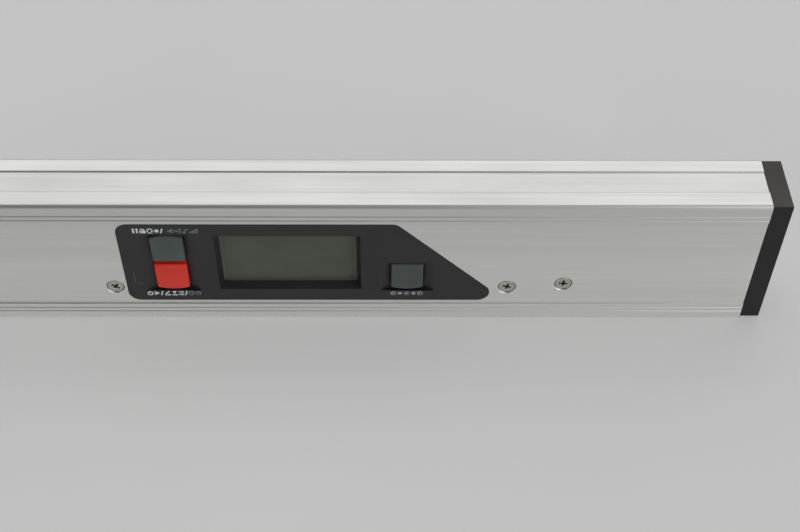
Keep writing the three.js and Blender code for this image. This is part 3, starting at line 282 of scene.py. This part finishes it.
def clear_window():
    """A thin clear acrylic sheet with a faint haze of fine scratches."""
    finish = Finish("clear_acrylic", (0.05, 0.055, 0.05), 0.08, Alpha=0.14)
    scratches = finish.noise((9, 9, 0.12), 2)
    haze = finish.mix(finish.spread(scratches, 0.45, 0.75), (0.045, 0.05, 0.045), (0.09, 0.095, 0.09))
    finish.put("Base Color", haze)
    finish.put("Roughness", finish.spread(scratches, 0.45, 0.75, 0.06, 0.16))
    finish.put("Normal", finish.bump(finish.noise(24, 1), 0.004))
    return finish.material


def lcd_glass():
    """A blank reflective LCD: a green-grey field in a slightly lighter seal border."""
    low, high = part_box("lcd_panel")
    finish = Finish("lcd_glass", (0.13, 0.154, 0.113), 0.45, Specular_IOR_Level=0.25)
    side_border = 3.1 * MM
    end_border = side_border * 0.75
    across = finish.within("X", low.x + side_border, high.x - side_border, 0.2 * MM)
    upright = finish.within("Z", low.z + end_border, high.z - end_border, 0.2 * MM)
    field = finish.math("MULTIPLY", across, upright)
    grain = finish.noise((0.3, 0.3, 0.3), 2)
    cloud = finish.noise((22, 22, 9), 2)
    green = finish.mix(finish.spread(cloud, 0.3, 0.7), (0.124, 0.145, 0.106), (0.150, 0.173, 0.130))
    green = finish.mix(finish.spread(grain, 0.3, 0.7, 0.0, 0.04), green, (0.19, 0.213, 0.172))
    finish.put("Base Color", finish.mix(field, (0.178, 0.186, 0.168), green))
    finish.put("Roughness", finish.spread(grain, 0.3, 0.7, 0.40, 0.52))
    finish.put("Normal", finish.bump(grain, 0.001))
    return finish.material


def frosted_plastic():
    """Milky plastic with a fine matt grain."""
    finish = Finish("frosted_plastic", (0.80, 0.81, 0.77), 0.45, Subsurface_Weight=0.15)
    fine = finish.noise(0.2, 3)
    tint = finish.mix(finish.spread(fine, 0.3, 0.7), (0.74, 0.75, 0.71), (0.84, 0.85, 0.82))
    finish.put("Base Color", tint)
    finish.put("Roughness", finish.spread(fine, 0.3, 0.7, 0.38, 0.55))
    finish.put("Normal", finish.bump(fine, 0.01))
    return finish.material


def board_laminate():
    """Green solder mask over copper tracks that run along the board."""
    finish = Finish("board_laminate", (0.02, 0.12, 0.055), 0.35)
    tracks = finish.add(
        "ShaderNodeTexWave",
        {"Vector": finish.coordinates, "Scale": 380.0, "Distortion": 1.5, "Detail": 1.0},
        bands_direction="Z",
    ).outputs["Fac"]
    raised = finish.spread(tracks, 0.55, 0.65)
    weave = finish.noise(0.4, 2)
    mask = finish.mix(raised, (0.015, 0.10, 0.045), (0.03, 0.17, 0.075))
    finish.put("Base Color", finish.mix(finish.spread(weave, 0.3, 0.7, 0, 0.2), mask, (0.05, 0.2, 0.1)))
    finish.put("Roughness", finish.spread(weave, 0.3, 0.7, 0.28, 0.42))
    finish.put("Normal", finish.bump(raised, 0.02))
    return finish.material


def cell_wrap(node):
    """A battery's printed film: a light band round its plus end, and bare metal at both ends."""
    low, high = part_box(node)
    plus_at_left = node == "battery_upper"
    finish = Finish("cell_wrap_" + node, (0.03, 0.07, 0.13), 0.3)
    rim = 1.0 * MM
    nub = 0.9 * MM
    left_end = low.x + (nub if plus_at_left else 0) + rim
    right_end = high.x - (0 if plus_at_left else nub) - rim
    film = finish.within("X", left_end, right_end, 0.05 * MM)
    band_width = 10 * MM
    if plus_at_left:
        band = finish.within("X", left_end, left_end + band_width, 0.1 * MM)
    else:
        band = finish.within("X", right_end - band_width, right_end, 0.1 * MM)
    wrinkle = finish.noise((14, 1.2, 1.2), 2)
    print_color = finish.mix(band, (0.022, 0.055, 0.11), (0.62, 0.60, 0.55))
    shade = finish.mix(finish.spread(wrinkle, 0.3, 0.7, 0, 0.25), print_color, (0.02, 0.03, 0.05))
    finish.put("Base Color", finish.mix(film, (0.66, 0.64, 0.60), shade))
    finish.put("Metallic", finish.math("SUBTRACT", 1.0, film))
    finish.put("Roughness", finish.spread(wrinkle, 0.3, 0.7, 0.22, 0.36))
    finish.put("Normal", finish.bump(wrinkle, 0.02))
    return finish.material


def soft_rubber(name, color):
    """Dull rubber or cable jacket with a slight bloom."""
    finish = Finish(name, color, 0.6, Sheen_Weight=0.15)
    bloom = finish.noise(2.5, 3)
    light = tuple(min(1.0, c * 1.25 + 0.01) for c in color)
    finish.put("Base Color", finish.mix(finish.spread(bloom, 0.35, 0.7), (*color, 1.0), light))
    finish.put("Roughness", finish.spread(bloom, 0.3, 0.7, 0.5, 0.68))
    finish.put("Normal", finish.bump(finish.noise(0.3, 2), 0.008))
    return finish.material


def printed_ink(name, color):
    """Screen-printed ink: slightly uneven, with pinholes that let the plastic through."""
    finish = Finish(name, color, 0.55)
    patchy = finish.noise(0.35, 3)
    thin = tuple(c * 0.72 for c in color)
    finish.put("Base Color", finish.mix(finish.spread(patchy, 0.45, 0.7), (*color, 1.0), thin))
    finish.put("Roughness", finish.spread(patchy, 0.3, 0.7, 0.48, 0.62))
    finish.put("Normal", finish.bump(patchy, 0.004))
    return finish.material


ALUMINIUM = anodised_aluminium()
CAP_PLASTIC = moulded_plastic(
    "cap_plastic", (0.007, 0.007, 0.0078), 0.5, 0.3, 0.02, dust=(0.085, 0.08, 0.076), gloss=0.38)
PANEL_PLASTIC = moulded_plastic("panel_plastic", (0.013, 0.013, 0.0145), 0.44, 0.18, 0.008, 0.25)
HOUSING_PLASTIC = moulded_plastic("housing_plastic", (0.03, 0.031, 0.033), 0.55, 0.3, 0.02)
CHIP_PLASTIC = moulded_plastic("chip_plastic", (0.012, 0.012, 0.013), 0.5, 0.15, 0.008)
RED_PLASTIC = moulded_plastic("red_button", (0.83, 0.032, 0.013), 0.42, 0.22, 0.006, 0.3)
GREY_PLASTIC = moulded_plastic("grey_button", (0.065, 0.082, 0.080), 0.45, 0.22, 0.006, 0.3)
STEEL = turned_steel("screw_steel", (0.62, 0.60, 0.55), 0.26)
FRONT_STEEL = turned_steel(
    "front_screw_steel", (0.60, 0.58, 0.53), 0.24, face_y=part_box("display_screw_left")[0].y)
NICKEL = turned_steel("nickel", (0.72, 0.69, 0.62), 0.24)
WINDOW = clear_window()
LCD = lcd_glass()
FROSTED = frosted_plastic()
LAMINATE = board_laminate()
STRIP_RUBBER = soft_rubber("strip_rubber", (0.22, 0.23, 0.25))
RED_JACKET = soft_rubber("lead_red", (0.42, 0.02, 0.012))
BLACK_JACKET = soft_rubber("lead_black", (0.012, 0.012, 0.012))
BRIGHT_INK = printed_ink("bright_ink", (0.80, 0.83, 0.86))
DIM_INK = printed_ink("dim_ink", (0.19, 0.225, 0.245))
MIDDLE_INK = printed_ink("middle_ink", (0.36, 0.39, 0.405))
LINE_INK = printed_ink("line_ink", (0.12, 0.125, 0.13))

# ---- Mesh helpers ---------------------------------------------------------------------------


def add_piece(name, bm, material, body, weighted=True):
    """A new object from a bmesh, riding on a body."""
    mesh = bpy.data.meshes.new(name)
    bmesh.ops.recalc_face_normals(bm, faces=bm.faces)
    bm.to_mesh(mesh)
    bm.free()
    mesh.shade_smooth()
    mesh.materials.append(material)
    piece = bpy.data.objects.new(name, mesh)
    bpy.context.scene.collection.objects.link(piece)
    if weighted:
        modifier = piece.modifiers.new("even_shading", "WEIGHTED_NORMAL")
        modifier.weight = 100
        modifier.keep_sharp = True
    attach(piece, body)
    return piece


def mark_creases(bm, angle):
    for edge in bm.edges:
        edge.smooth = len(edge.link_faces) == 2 and edge.calc_face_angle() < angle


WELD_DISTANCE = 0.002 * MM
FLAT_ANGLE = math.radians(0.3)
EASED_ANGLE = math.radians(28)
CREASE_ANGLE = math.radians(40)
EASED_CREASE_ANGLE = math.radians(60)  # where edges are eased, only steeper ones stay sharp
CHANNEL_EASE = 0.4  # on the front corners of the beam's two channels


def long_outer_edges(bm, node):
    """The front outward corners that run along the whole of a node, at its highest and lowest Z."""
    low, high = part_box(node)
    chosen = []
    whole = 0.9 * (high.x - low.x)
    for edge in bm.edges:
        level = any(all(abs(v.co.z - z) < WELD_DISTANCE for v in edge.verts) for z in (low.z, high.z))
        outward = edge.is_manifold and edge.calc_face_angle_signed() > EASED_ANGLE
        outward = outward and edge.verts[0].co.y < 0
        if level and outward and edge.calc_length() > whole:
            chosen.append(edge)
    return chosen


def fine_mesh(node, ease):
    """A CAD node's shape with its flat faces merged and its edges eased by so many millimetres."""
    bm = bmesh.new()
    bm.from_mesh(frame["nodes"][node].data)
    bmesh.ops.remove_doubles(bm, verts=bm.verts, dist=WELD_DISTANCE)
    bmesh.ops.dissolve_limit(
        bm, angle_limit=FLAT_ANGLE, verts=bm.verts, edges=bm.edges, use_dissolve_boundaries=False)
    if node == "beam_extrusion":
        bmesh.ops.bevel(
            bm, geom=long_outer_edges(bm, node), offset=CHANNEL_EASE * MM, offset_type="OFFSET",
            segments=4, profile=0.5, affect="EDGES", clamp_overlap=False)
    if ease:
        sharp = [e for e in bm.edges if e.is_manifold and e.calc_face_angle() > EASED_ANGLE]
        bmesh.ops.bevel(
            bm, geom=sharp, offset=ease * MM, offset_type="OFFSET", segments=2, profile=0.5,
            affect="EDGES", clamp_overlap=True)
    mark_creases(bm, EASED_CREASE_ANGLE if ease else CREASE_ANGLE)
    return bm


def refine(node, body, material, ease):
    piece = add_piece(node + "_fine", fine_mesh(node, ease), material, body)
    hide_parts(node)
    return piece


# ---- CAD pieces with eased edges ------------------------------------------------------------

NODE_BODY = {
    node: body for body, nodes in frame["record"]["behaviour"]["bodies"].items() for node in nodes}

# Each finish: its material, its slot, how far edges are eased, and its nodes
FINISHES = [
    (ALUMINIUM, "beam_aluminium", 0.15, ["beam_extrusion"]),
    (CAP_PLASTIC, "cap_plastic", 0.2, ["left_end_cap", "right_end_cap", "battery_cover"]),
    (PANEL_PLASTIC, "panel_plastic", 0.12, ["display_bezel"]),
    (HOUSING_PLASTIC, "housing_plastic", 0.1, [
        "rear_housing", "display_frame", "battery_holder",
        "hold_switch_plunger", "power_switch_plunger", "light_switch_plunger"]),
    (CHIP_PLASTIC, "chip", 0.05, [
        "microcontroller", "tilt_sensor", "buzzer", "hold_switch", "power_switch", "light_switch"]),
    (WINDOW, "window", 0.0, ["display_window"]),
    (LCD, "lcd", 0.0, ["lcd_panel"]),
    (FROSTED, "diffuser", 0.05, [
        "backlight_guide", "backlight_led", "battery_socket", "battery_plug"]),
    (LAMINATE, "circuit_board", 0.05, ["circuit_board"]),
    (STRIP_RUBBER, "connector_rubber", 0.05, ["connector_strip_lower", "connector_strip_upper"]),
    (NICKEL, "nickel", 0.03, [
        "clock_crystal", "positive_contact", "negative_contact", "bridge_contact"]),
    (STEEL, "screw_steel", 0.05, [
        f"{kind}_screw_{i}" for kind in ("housing", "board") for i in (1, 2, 3, 4)]),
    (RED_JACKET, "lead_red", 0.0, ["battery_lead_red"]),
    (BLACK_JACKET, "lead_black", 0.0, ["battery_lead_black"]),
]

for material, slot, ease, nodes in FINISHES:
    for node in nodes:
        refine(node, NODE_BODY[node], material, ease)
for node in ("battery_upper", "battery_lower"):
    refine(node, NODE_BODY[node], cell_wrap(node), 0.25)

# ---- Buttons --------------------------------------------------------------------------------

BUTTON_RIM = 0.6
RIM_THICKNESS = 0.9
BUTTON_BULGE = 1.2
BUTTON_CROWN = 0.45
BUTTON_EDGE = 0.45  # radius of the edges round the face
COLUMNS = 16
ROWS = 18


def button_piece(name, material):
    """A key with a crowned face, rounded edges and the hidden rim that keeps it in."""
    node = name + "_button"
    low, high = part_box(node)
    middle = (low.x + high.x) / 2
    rim = BUTTON_RIM * MM
    half = (high.x - low.x) / 2 - rim
    upward = name == "hold"
    flat_z = low.z + rim if upward else high.z - rim
    curve_z = high.z - rim if upward else low.z + rim
    outward = 1 if upward else -1
    length = abs(curve_z - flat_z)
    bm = bmesh.new()
    grid = []
    for j in range(ROWS + 1):
        row = []
        for i in range(COLUMNS + 1):
            across = 2 * i / COLUMNS - 1
            end_z = curve_z - outward * BUTTON_BULGE * MM * across * across
            z = flat_z + (end_z - flat_z) * j / ROWS
            from_middle = 2 * (z - (flat_z + curve_z) / 2) / length
            y = low.y + BUTTON_CROWN * MM * from_middle * from_middle
            row.append(bm.verts.new((middle + across * half, y, z)))
        grid.append(row)
    for j in range(ROWS):
        for i in range(COLUMNS):
            bm.faces.new((grid[j][i], grid[j][i + 1], grid[j + 1][i + 1], grid[j + 1][i]))
    border = [grid[0][i] for i in range(COLUMNS + 1)]
    border += [grid[j][COLUMNS] for j in range(1, ROWS + 1)]
    border += [grid[ROWS][i] for i in range(COLUMNS - 1, -1, -1)]
    border += [grid[j][0] for j in range(ROWS - 1, 0, -1)]
    rim_front = high.y - RIM_THICKNESS * MM
    foot = [bm.verts.new((v.co.x, rim_front, v.co.z)) for v in border]
    centre_z = (flat_z + curve_z) / 2
    reach_x = (half + rim) / half
    reach_z = (length / 2 + rim) / (length / 2)
    edge_front = []
    edge_back = []
    for v in foot:
        x = middle + (v.co.x - middle) * reach_x
        z = centre_z + (v.co.z - centre_z) * reach_z
        edge_front.append(bm.verts.new((x, rim_front, z)))
        edge_back.append(bm.verts.new((x, high.y, z)))
    count = len(border)
    rings = [border, foot, edge_front, edge_back]
    for ring, following in zip(rings, rings[1:]):
        for i in range(count):
            k = (i + 1) % count
            bm.faces.new((ring[i], ring[k], following[k], following[i]))
    bm.faces.new(edge_back)
    bmesh.ops.recalc_face_normals(bm, faces=bm.faces)
    corners = {grid[0][0], grid[0][COLUMNS], grid[ROWS][0], grid[ROWS][COLUMNS]}
    rounded = [
        e for e in bm.edges
        if all(v in border for v in e.verts) and e.calc_face_angle() > EASED_ANGLE]
    rounded += [e for e in bm.edges if e.verts[0] in corners and e.verts[1] in foot]
    rounded += [e for e in bm.edges if e.verts[1] in corners and e.verts[0] in foot]
    bmesh.ops.bevel(
        bm, geom=rounded, offset=BUTTON_EDGE * MM, offset_type="OFFSET", segments=4, profile=0.5,
        affect="EDGES", clamp_overlap=True)
    mark_creases(bm, CREASE_ANGLE)
    piece = add_piece(f"{name}_key", bm, material, NODE_BODY[node])
    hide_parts(node)


button_piece("hold", GREY_PLASTIC)
button_piece("power", RED_PLASTIC)
button_piece("light", GREY_PLASTIC)

# ---- Countersunk screws ---------------------------------------------------------------------

SCREW_SIDES = 64
HEAD_EDGE = 0.12
SHANK_RADIUS = 1.45
RECESS_DEPTH = 1.5
# Each arm of the cross recess, as (half length, half width) at the head's face and at its floor
RECESS_MOUTH = (1.85, 0.42)
RECESS_FLOOR = (0.7, 0.22)


def ring(bm, radius, y):
    steps = [2 * math.pi * i / SCREW_SIDES for i in range(SCREW_SIDES)]
    return [bm.verts.new((radius * math.cos(a), y, radius * math.sin(a))) for a in steps]


def screw_body(head_radius, length):
    """A screw about Y whose head's face is at y 0 and whose tip points along +Y."""
    bm = bmesh.new()
    cone = head_radius - SHANK_RADIUS * MM
    edge = HEAD_EDGE * MM
    profile = [
        (head_radius * 0.7, 0.0),
        (head_radius - 1.6 * edge, 0.15 * edge),
        (head_radius - 0.4 * edge, 0.5 * edge),
        (head_radius, edge),
        (SHANK_RADIUS * MM, cone + edge),
        (SHANK_RADIUS * MM, length - 0.3 * MM),
        ((SHANK_RADIUS - 0.3) * MM, length),
    ]
    rings = [ring(bm, radius, y) for radius, y in profile]
    for lower, upper in zip(rings, rings[1:]):
        for i in range(SCREW_SIDES):
            k = (i + 1) % SCREW_SIDES
            bm.faces.new((lower[i], lower[k], upper[k], upper[i]))
    bm.faces.new(rings[0])
    bm.faces.new(rings[-1])
    bmesh.ops.recalc_face_normals(bm, faces=bm.faces)
    mesh = bpy.data.meshes.new("screw_blank")
    bm.to_mesh(mesh)
    bm.free()
    return mesh


def recess_cutter(turn):
    """The two crossed wedges that a cross recess is cut with."""
    bm = bmesh.new()
    for arm in (0, math.pi / 2):
        corners = []
        for (reach, half), y in ((RECESS_MOUTH, -0.3), (RECESS_FLOOR, RECESS_DEPTH)):
            for along, across in ((-reach, -half), (reach, -half), (reach, half), (-reach, half)):
                spot = Vector((along * MM, y * MM, across * MM))
                corners.append(bm.verts.new(Matrix.Rotation(turn + arm, 3, "Y") @ spot))
        for quad in ((0, 1, 2, 3), (4, 5, 6, 7), (0, 1, 5, 4), (1, 2, 6, 5), (2, 3, 7, 6), (3, 0, 4, 7)):
            bm.faces.new([corners[i] for i in quad])
    bmesh.ops.recalc_face_normals(bm, faces=bm.faces)
    mesh = bpy.data.meshes.new("recess_cutter")
    bm.to_mesh(mesh)
    bm.free()
    return mesh


def cut_mesh(blank, cutter):
    """The blank with the cutter's shape taken out of it."""
    scene = bpy.context.scene
    target = bpy.data.objects.new("blank", blank)
    tool = bpy.data.objects.new("tool", cutter)
    for item in (target, tool):
        scene.collection.objects.link(item)
    modifier = target.modifiers.new("recess", "BOOLEAN")
    modifier.object = tool
    modifier.operation = "DIFFERENCE"
    modifier.solver = "EXACT"
    modifier.use_self = True
    graph = bpy.context.evaluated_depsgraph_get()
    bm = bmesh.new()
    bm.from_mesh(target.evaluated_get(graph).to_mesh())
    for item in (target, tool):
        bpy.data.objects.remove(item)
    return bm


def countersunk_screw(node, turn):
    low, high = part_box(node)
    front = abs(low.y) > abs(high.y)
    head_y = low.y if front else high.y
    blank = screw_body((high.x - low.x) / 2, high.y - low.y)
    bm = cut_mesh(blank, recess_cutter(math.radians(turn)))
    if not front:
        bmesh.ops.rotate(bm, matrix=Matrix.Rotation(math.pi, 3, "Z"), verts=bm.verts)
    place = ((low.x + high.x) / 2, head_y, (low.z + high.z) / 2)
    bmesh.ops.translate(bm, vec=place, verts=bm.verts)
    mark_creases(bm, CREASE_ANGLE)
    material = FRONT_STEEL if front else STEEL
    piece = add_piece(node + "_cross", bm, material, NODE_BODY[node])
    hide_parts(node)


countersunk_screw("display_screw_left", 38)
countersunk_screw("display_screw_right", 20)
countersunk_screw("battery_holder_screw", 8)
countersunk_screw("battery_cover_screw", 30)

# ---- Printed marks --------------------------------------------------------------------------

INK_THICKNESS = 0.02
MARK_HEIGHT = 2.4
STROKE = 0.55
THIN_STROKE = 0.42
MARK_SPACE = 0.42  # between two marks in a row
ARC_STEPS = 20
panel_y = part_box("display_bezel")[0].y


class Print:
    """Marks on the panel, drawn about a middle point in millimetres, as thin closed prisms."""

    def __init__(self, x, z):
        self.bm = bmesh.new()
        self.x = x
        self.z = z

    def patch(self, points):
        back_y = panel_y + INK_THICKNESS * MM / 2
        front_y = panel_y - INK_THICKNESS * MM
        loops = [
            [self.bm.verts.new((self.x + x * MM, y, self.z + z * MM)) for x, z in points]
            for y in (front_y, back_y)]
        self.bm.faces.new(loops[0])
        self.bm.faces.new(loops[1])
        for i in range(len(points)):
            k = (i + 1) % len(points)
            self.bm.faces.new((loops[0][i], loops[0][k], loops[1][k], loops[1][i]))

    def bar(self, x0, z0, x1, z1, width=STROKE):
        along = Vector((x1 - x0, z1 - z0)).normalized() * width / 2
        side = Vector((-along.y, along.x))
        self.patch([
            (x0 - side.x, z0 - side.y), (x1 - side.x, z1 - side.y),
            (x1 + side.x, z1 + side.y), (x0 + side.x, z0 + side.y)])

    def arc(self, x, z, radius, start, end, width=STROKE):
        """Part of a ring, from start to end in degrees."""
        angles = [math.radians(start + (end - start) * i / ARC_STEPS) for i in range(ARC_STEPS + 1)]
        for first, second in zip(angles, angles[1:]):
            corners = [
                (radius - width / 2, first), (radius + width / 2, first),
                (radius + width / 2, second), (radius - width / 2, second)]
            self.patch([(x + r * math.cos(a), z + r * math.sin(a)) for r, a in corners])

    def disc(self, x, z, radius):
        steps = [2 * math.pi * i / (2 * ARC_STEPS) for i in range(2 * ARC_STEPS)]
        self.patch([(x + radius * math.cos(a), z + radius * math.sin(a)) for a in steps])

    def place(self, name, ink):
        bmesh.ops.remove_doubles(self.bm, verts=self.bm.verts, dist=WELD_DISTANCE / 4)
        return add_piece(name, self.bm, ink, "beam", weighted=False)


# Each pictogram is drawn about x, and MARK_WIDTHS says how wide it is.


def slash(mark, x):
    mark.bar(x - 0.35, -MARK_HEIGHT / 2, x + 0.35, MARK_HEIGHT / 2)


def pause(mark, x):
    for side in (-1, 1):
        mark.bar(x + side * 0.65, -MARK_HEIGHT / 2, x + side * 0.65, MARK_HEIGHT / 2, 0.75)


def padlock(mark, x):
    mark.bar(x, -MARK_HEIGHT / 2, x, 0.25, 2.2)
    mark.arc(x, 0.3, 0.68, 0, 180, THIN_STROKE)


def frame_mark(mark, x):
    for side in (-1, 1):
        mark.bar(x - 1.05, side * 0.92, x + 1.05, side * 0.92)
        mark.bar(x + side * 0.8, -1.0, x + side * 0.8, 1.0)


def dot(mark, x):
    mark.disc(x, 0, 0.85)


def speaker(mark, x):
    mark.patch([
        (x - 1.2, -0.5), (x - 0.5, -0.5), (x + 0.5, -1.2),
        (x + 0.5, 1.2), (x - 0.5, 0.5), (x - 1.2, 0.5)])
    mark.arc(x - 0.1, 0, 1.25, -42, 42, THIN_STROKE)


def waves(mark, x):
    for radius in (0.9, 1.8):
        mark.arc(x - 1.0, 0, radius, -48, 48, THIN_STROKE)
    mark.disc(x - 0.85, 0, 0.4)


def note(mark, x):
    mark.disc(x - 0.45, -0.75, 0.55)
    mark.bar(x + 0.0, -0.75, x + 0.0, 1.2, THIN_STROKE)
    mark.bar(x - 0.1, 1.0, x + 1.0, 0.45)


def volume(mark, x):
    for i in range(4):
        foot = x - 1.2 + 0.8 * i
        mark.bar(foot, -MARK_HEIGHT / 2, foot, -0.4 + 0.53 * i)


def power(mark, x):
    mark.arc(x, -0.1, 0.88, 125, 415)
    mark.bar(x, 0.05, x, MARK_HEIGHT / 2)


def play(mark, x):
    mark.patch([(x - 0.85, -1.15), (x + 1.0, 0), (x - 0.85, 1.15)])


def angle(mark, x):
    mark.bar(x - 1.15, -0.95, x + 1.15, -0.95)
    mark.bar(x - 1.05, -0.9, x + 0.75, 1.1)


def zero_line(mark, x):
    mark.bar(x - 1.1, -0.95, x + 1.1, -0.95)
    mark.patch([(x - 0.85, 1.15), (x + 0.85, 1.15), (x, -0.5)])


def lines(mark, x):
    for z in (-0.92, 0, 0.92):
        mark.bar(x - 0.95, z, x + 0.95, z, THIN_STROKE)


def empty_ring(mark, x):
    mark.arc(x, 0, 0.9, 0, 360)


def crossed_ring(mark, x):
    mark.arc(x, 0, 0.9, 0, 360, THIN_STROKE)
    mark.bar(x - 0.6, -0.6, x + 0.6, 0.6, THIN_STROKE)


def half_ring(mark, x):
    mark.arc(x, 0, 0.9, 0, 360, THIN_STROKE)
    mark.arc(x, 0, 0.45, 90, 270, 0.8)


def lamp(mark, x):
    mark.disc(x, 0, 0.55)
    for i in range(8):
        turn = math.radians(45 * i)
        inner = 0.8
        outer = MARK_HEIGHT / 2
        mark.bar(
            x + inner * math.cos(turn), inner * math.sin(turn),
            x + outer * math.cos(turn), outer * math.sin(turn), 0.36)


MARK_WIDTHS = {
    slash: 0.9, pause: 2.1, padlock: 2.2, frame_mark: 2.1, dot: 1.8, speaker: 2.6, waves: 2.1, note: 1.9,
    volume: 3.0, power: 2.2, play: 1.9, angle: 2.3, zero_line: 2.2, lines: 1.9, empty_ring: 2.2,
    crossed_ring: 2.2, half_ring: 2.2, lamp: 2.4}


def mark_row(name, ink, x, z, start, pictograms):
    """Pictograms side by side, the first from start millimetres right of x."""
    mark = Print(x, z)
    for draw in pictograms:
        draw(mark, start + MARK_WIDTHS[draw] / 2)
        start += MARK_WIDTHS[draw] + MARK_SPACE
    mark.place(name, ink)


def button_middle(name):
    low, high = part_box(name + "_button")
    return (low.x + high.x) / 2


UPPER_MARK_GAP = 2.2 * MM  # from the hold button's rim to the middle of its marks
LOWER_MARK_GAP = 1.75 * MM  # from the lower buttons' rims to the middle of theirs
left_x = button_middle("power")
light_x = button_middle("light")
hold_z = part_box("hold_button")[1].z + UPPER_MARK_GAP
lower_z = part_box("power_button")[0].z - LOWER_MARK_GAP

mark_row("hold_mark", BRIGHT_INK, left_x, hold_z, -11.2, [pause, padlock, frame_mark, dot, slash])
mark_row("sound_mark", DIM_INK, left_x, hold_z, 1.0, [speaker, waves, note, volume])
mark_row(
    "power_mark", BRIGHT_INK, left_x, lower_z, -10.3,
    [power, play, slash, angle, zero_line, lines, slash])
mark_row("off_mark", DIM_INK, left_x, lower_z, 4.9, [empty_ring, crossed_ring])
mark_row("light_mark", MIDDLE_INK, light_x, lower_z, -6.2, [half_ring, dot, lamp, dot, half_ring])

CORNER_STROKE = 0.28
CORNER_X = -13.85  # from the middle of the power button to the upright line
CORNER_Z = 5.65  # from the middle of the lower marks to the level line

corner_mark = Print(left_x, lower_z)
corner_mark.bar(CORNER_X, 5.5, CORNER_X, 11.5, CORNER_STROKE)
corner_mark.bar(-13.99, CORNER_Z, -11.0, CORNER_Z, CORNER_STROKE)
corner_mark.place("corner_mark", LINE_INK)

# ---- Floor and light ------------------------------------------------------------------------

FLOOR_HALF = 6.0

# Each glow of the sky: its direction, the cosines from which and to which it grows, and its levels
WORLD_GLOWS = [
    ((0.0, -1.0, 0.35), -0.2, 0.5, 0.245, 0.14),
    ((0.75, -0.50, 0.45), 0.62, 0.97, 0.0, 1.08),
]


def add_floor():
    finish = Finish("floor_sheet", (0.35, 0.35, 0.35), 0.9)
    soft = finish.noise(260, 3)
    fine = finish.noise(1.1, 3)
    tint = finish.mix(finish.spread(soft, 0.3, 0.7), (0.342, 0.342, 0.342), (0.358, 0.358, 0.358))
    finish.put("Base Color", tint)
    finish.put("Normal", finish.bump(fine, 0.02))
    bm = bmesh.new()
    corners = ((-1, -1), (1, -1), (1, 1), (-1, 1))
    bm.faces.new([bm.verts.new((x * FLOOR_HALF, y * FLOOR_HALF, 0)) for x, y in corners])
    mesh = bpy.data.meshes.new("floor")
    bm.to_mesh(mesh)
    bm.free()
    mesh.materials.append(finish.material)
    floor = bpy.data.objects.new("floor", mesh)
    stage = bpy.data.collections.new("stage")
    stage.objects.link(floor)
    bpy.context.scene.collection.children.link(stage)
    return stage


def add_world():
    """A soft studio: even all round, dimmer towards the front, with a glow at the right front."""
    world = bpy.data.worlds.new("studio")
    world.use_nodes = True
    tree = world.node_tree
    background = tree.nodes["Background"]
    direction = tree.nodes.new("ShaderNodeTexCoord").outputs["Generated"]
    total = None
    for toward, start, end, low, high in WORLD_GLOWS:
        dot = tree.nodes.new("ShaderNodeVectorMath")
        dot.operation = "DOT_PRODUCT"
        tree.links.new(direction, dot.inputs[0])
        dot.inputs[1].default_value = Vector(toward).normalized()
        glow = tree.nodes.new("ShaderNodeMapRange")
        glow.interpolation_type = "SMOOTHSTEP"
        tree.links.new(dot.outputs["Value"], glow.inputs[0])
        for socket, value in zip((1, 2, 3, 4), (start, end, low, high)):
            glow.inputs[socket].default_value = value
        if total is None:
            total = glow.outputs[0]
            continue
        added = tree.nodes.new("ShaderNodeMath")
        tree.links.new(total, added.inputs[0])
        tree.links.new(glow.outputs[0], added.inputs[1])
        total = added.outputs[0]
    tree.links.new(total, background.inputs["Strength"])
    background.inputs["Color"].default_value = (1.0, 1.0, 0.99, 1.0)
    bpy.context.scene.world = world


def add_softbox(name, place, size, power, only=None):
    """An area lamp aimed at the origin. Only the collection only, if given, is lit and shades it."""
    data = bpy.data.lights.new(name, "AREA")
    data.shape = "RECTANGLE"
    data.size, data.size_y = size
    data.energy = power
    lamp = bpy.data.objects.new(name, data)
    place = Vector(place)
    aim = (-place).to_track_quat("-Z", "Y")
    lamp.matrix_world = Matrix.Translation(place) @ aim.to_matrix().to_4x4()
    bpy.context.scene.collection.objects.link(lamp)
    if only:
        lamp.light_linking.receiver_collection = only
        lamp.light_linking.blocker_collection = only


def set_colours():
    view = bpy.context.scene.view_settings
    view.view_transform = "Standard"
    view.look = "None"
    view.exposure = 0.0
    view.gamma = 1.0


stage = add_floor()
add_world()
add_softbox("back_softbox", (-0.05, 1.0, 1.1), (2.8, 1.1), 7.9)
add_softbox("left_softbox", (-0.95, -0.7, 0.4), (0.6, 0.6), 1.0)
add_softbox("right_softbox", (0.95, -0.7, 0.4), (0.6, 0.6), 1.0)
add_softbox("floor_softbox", (0, 0, 2.5), (3.0, 3.0), 80.5, only=stage)
set_colours()
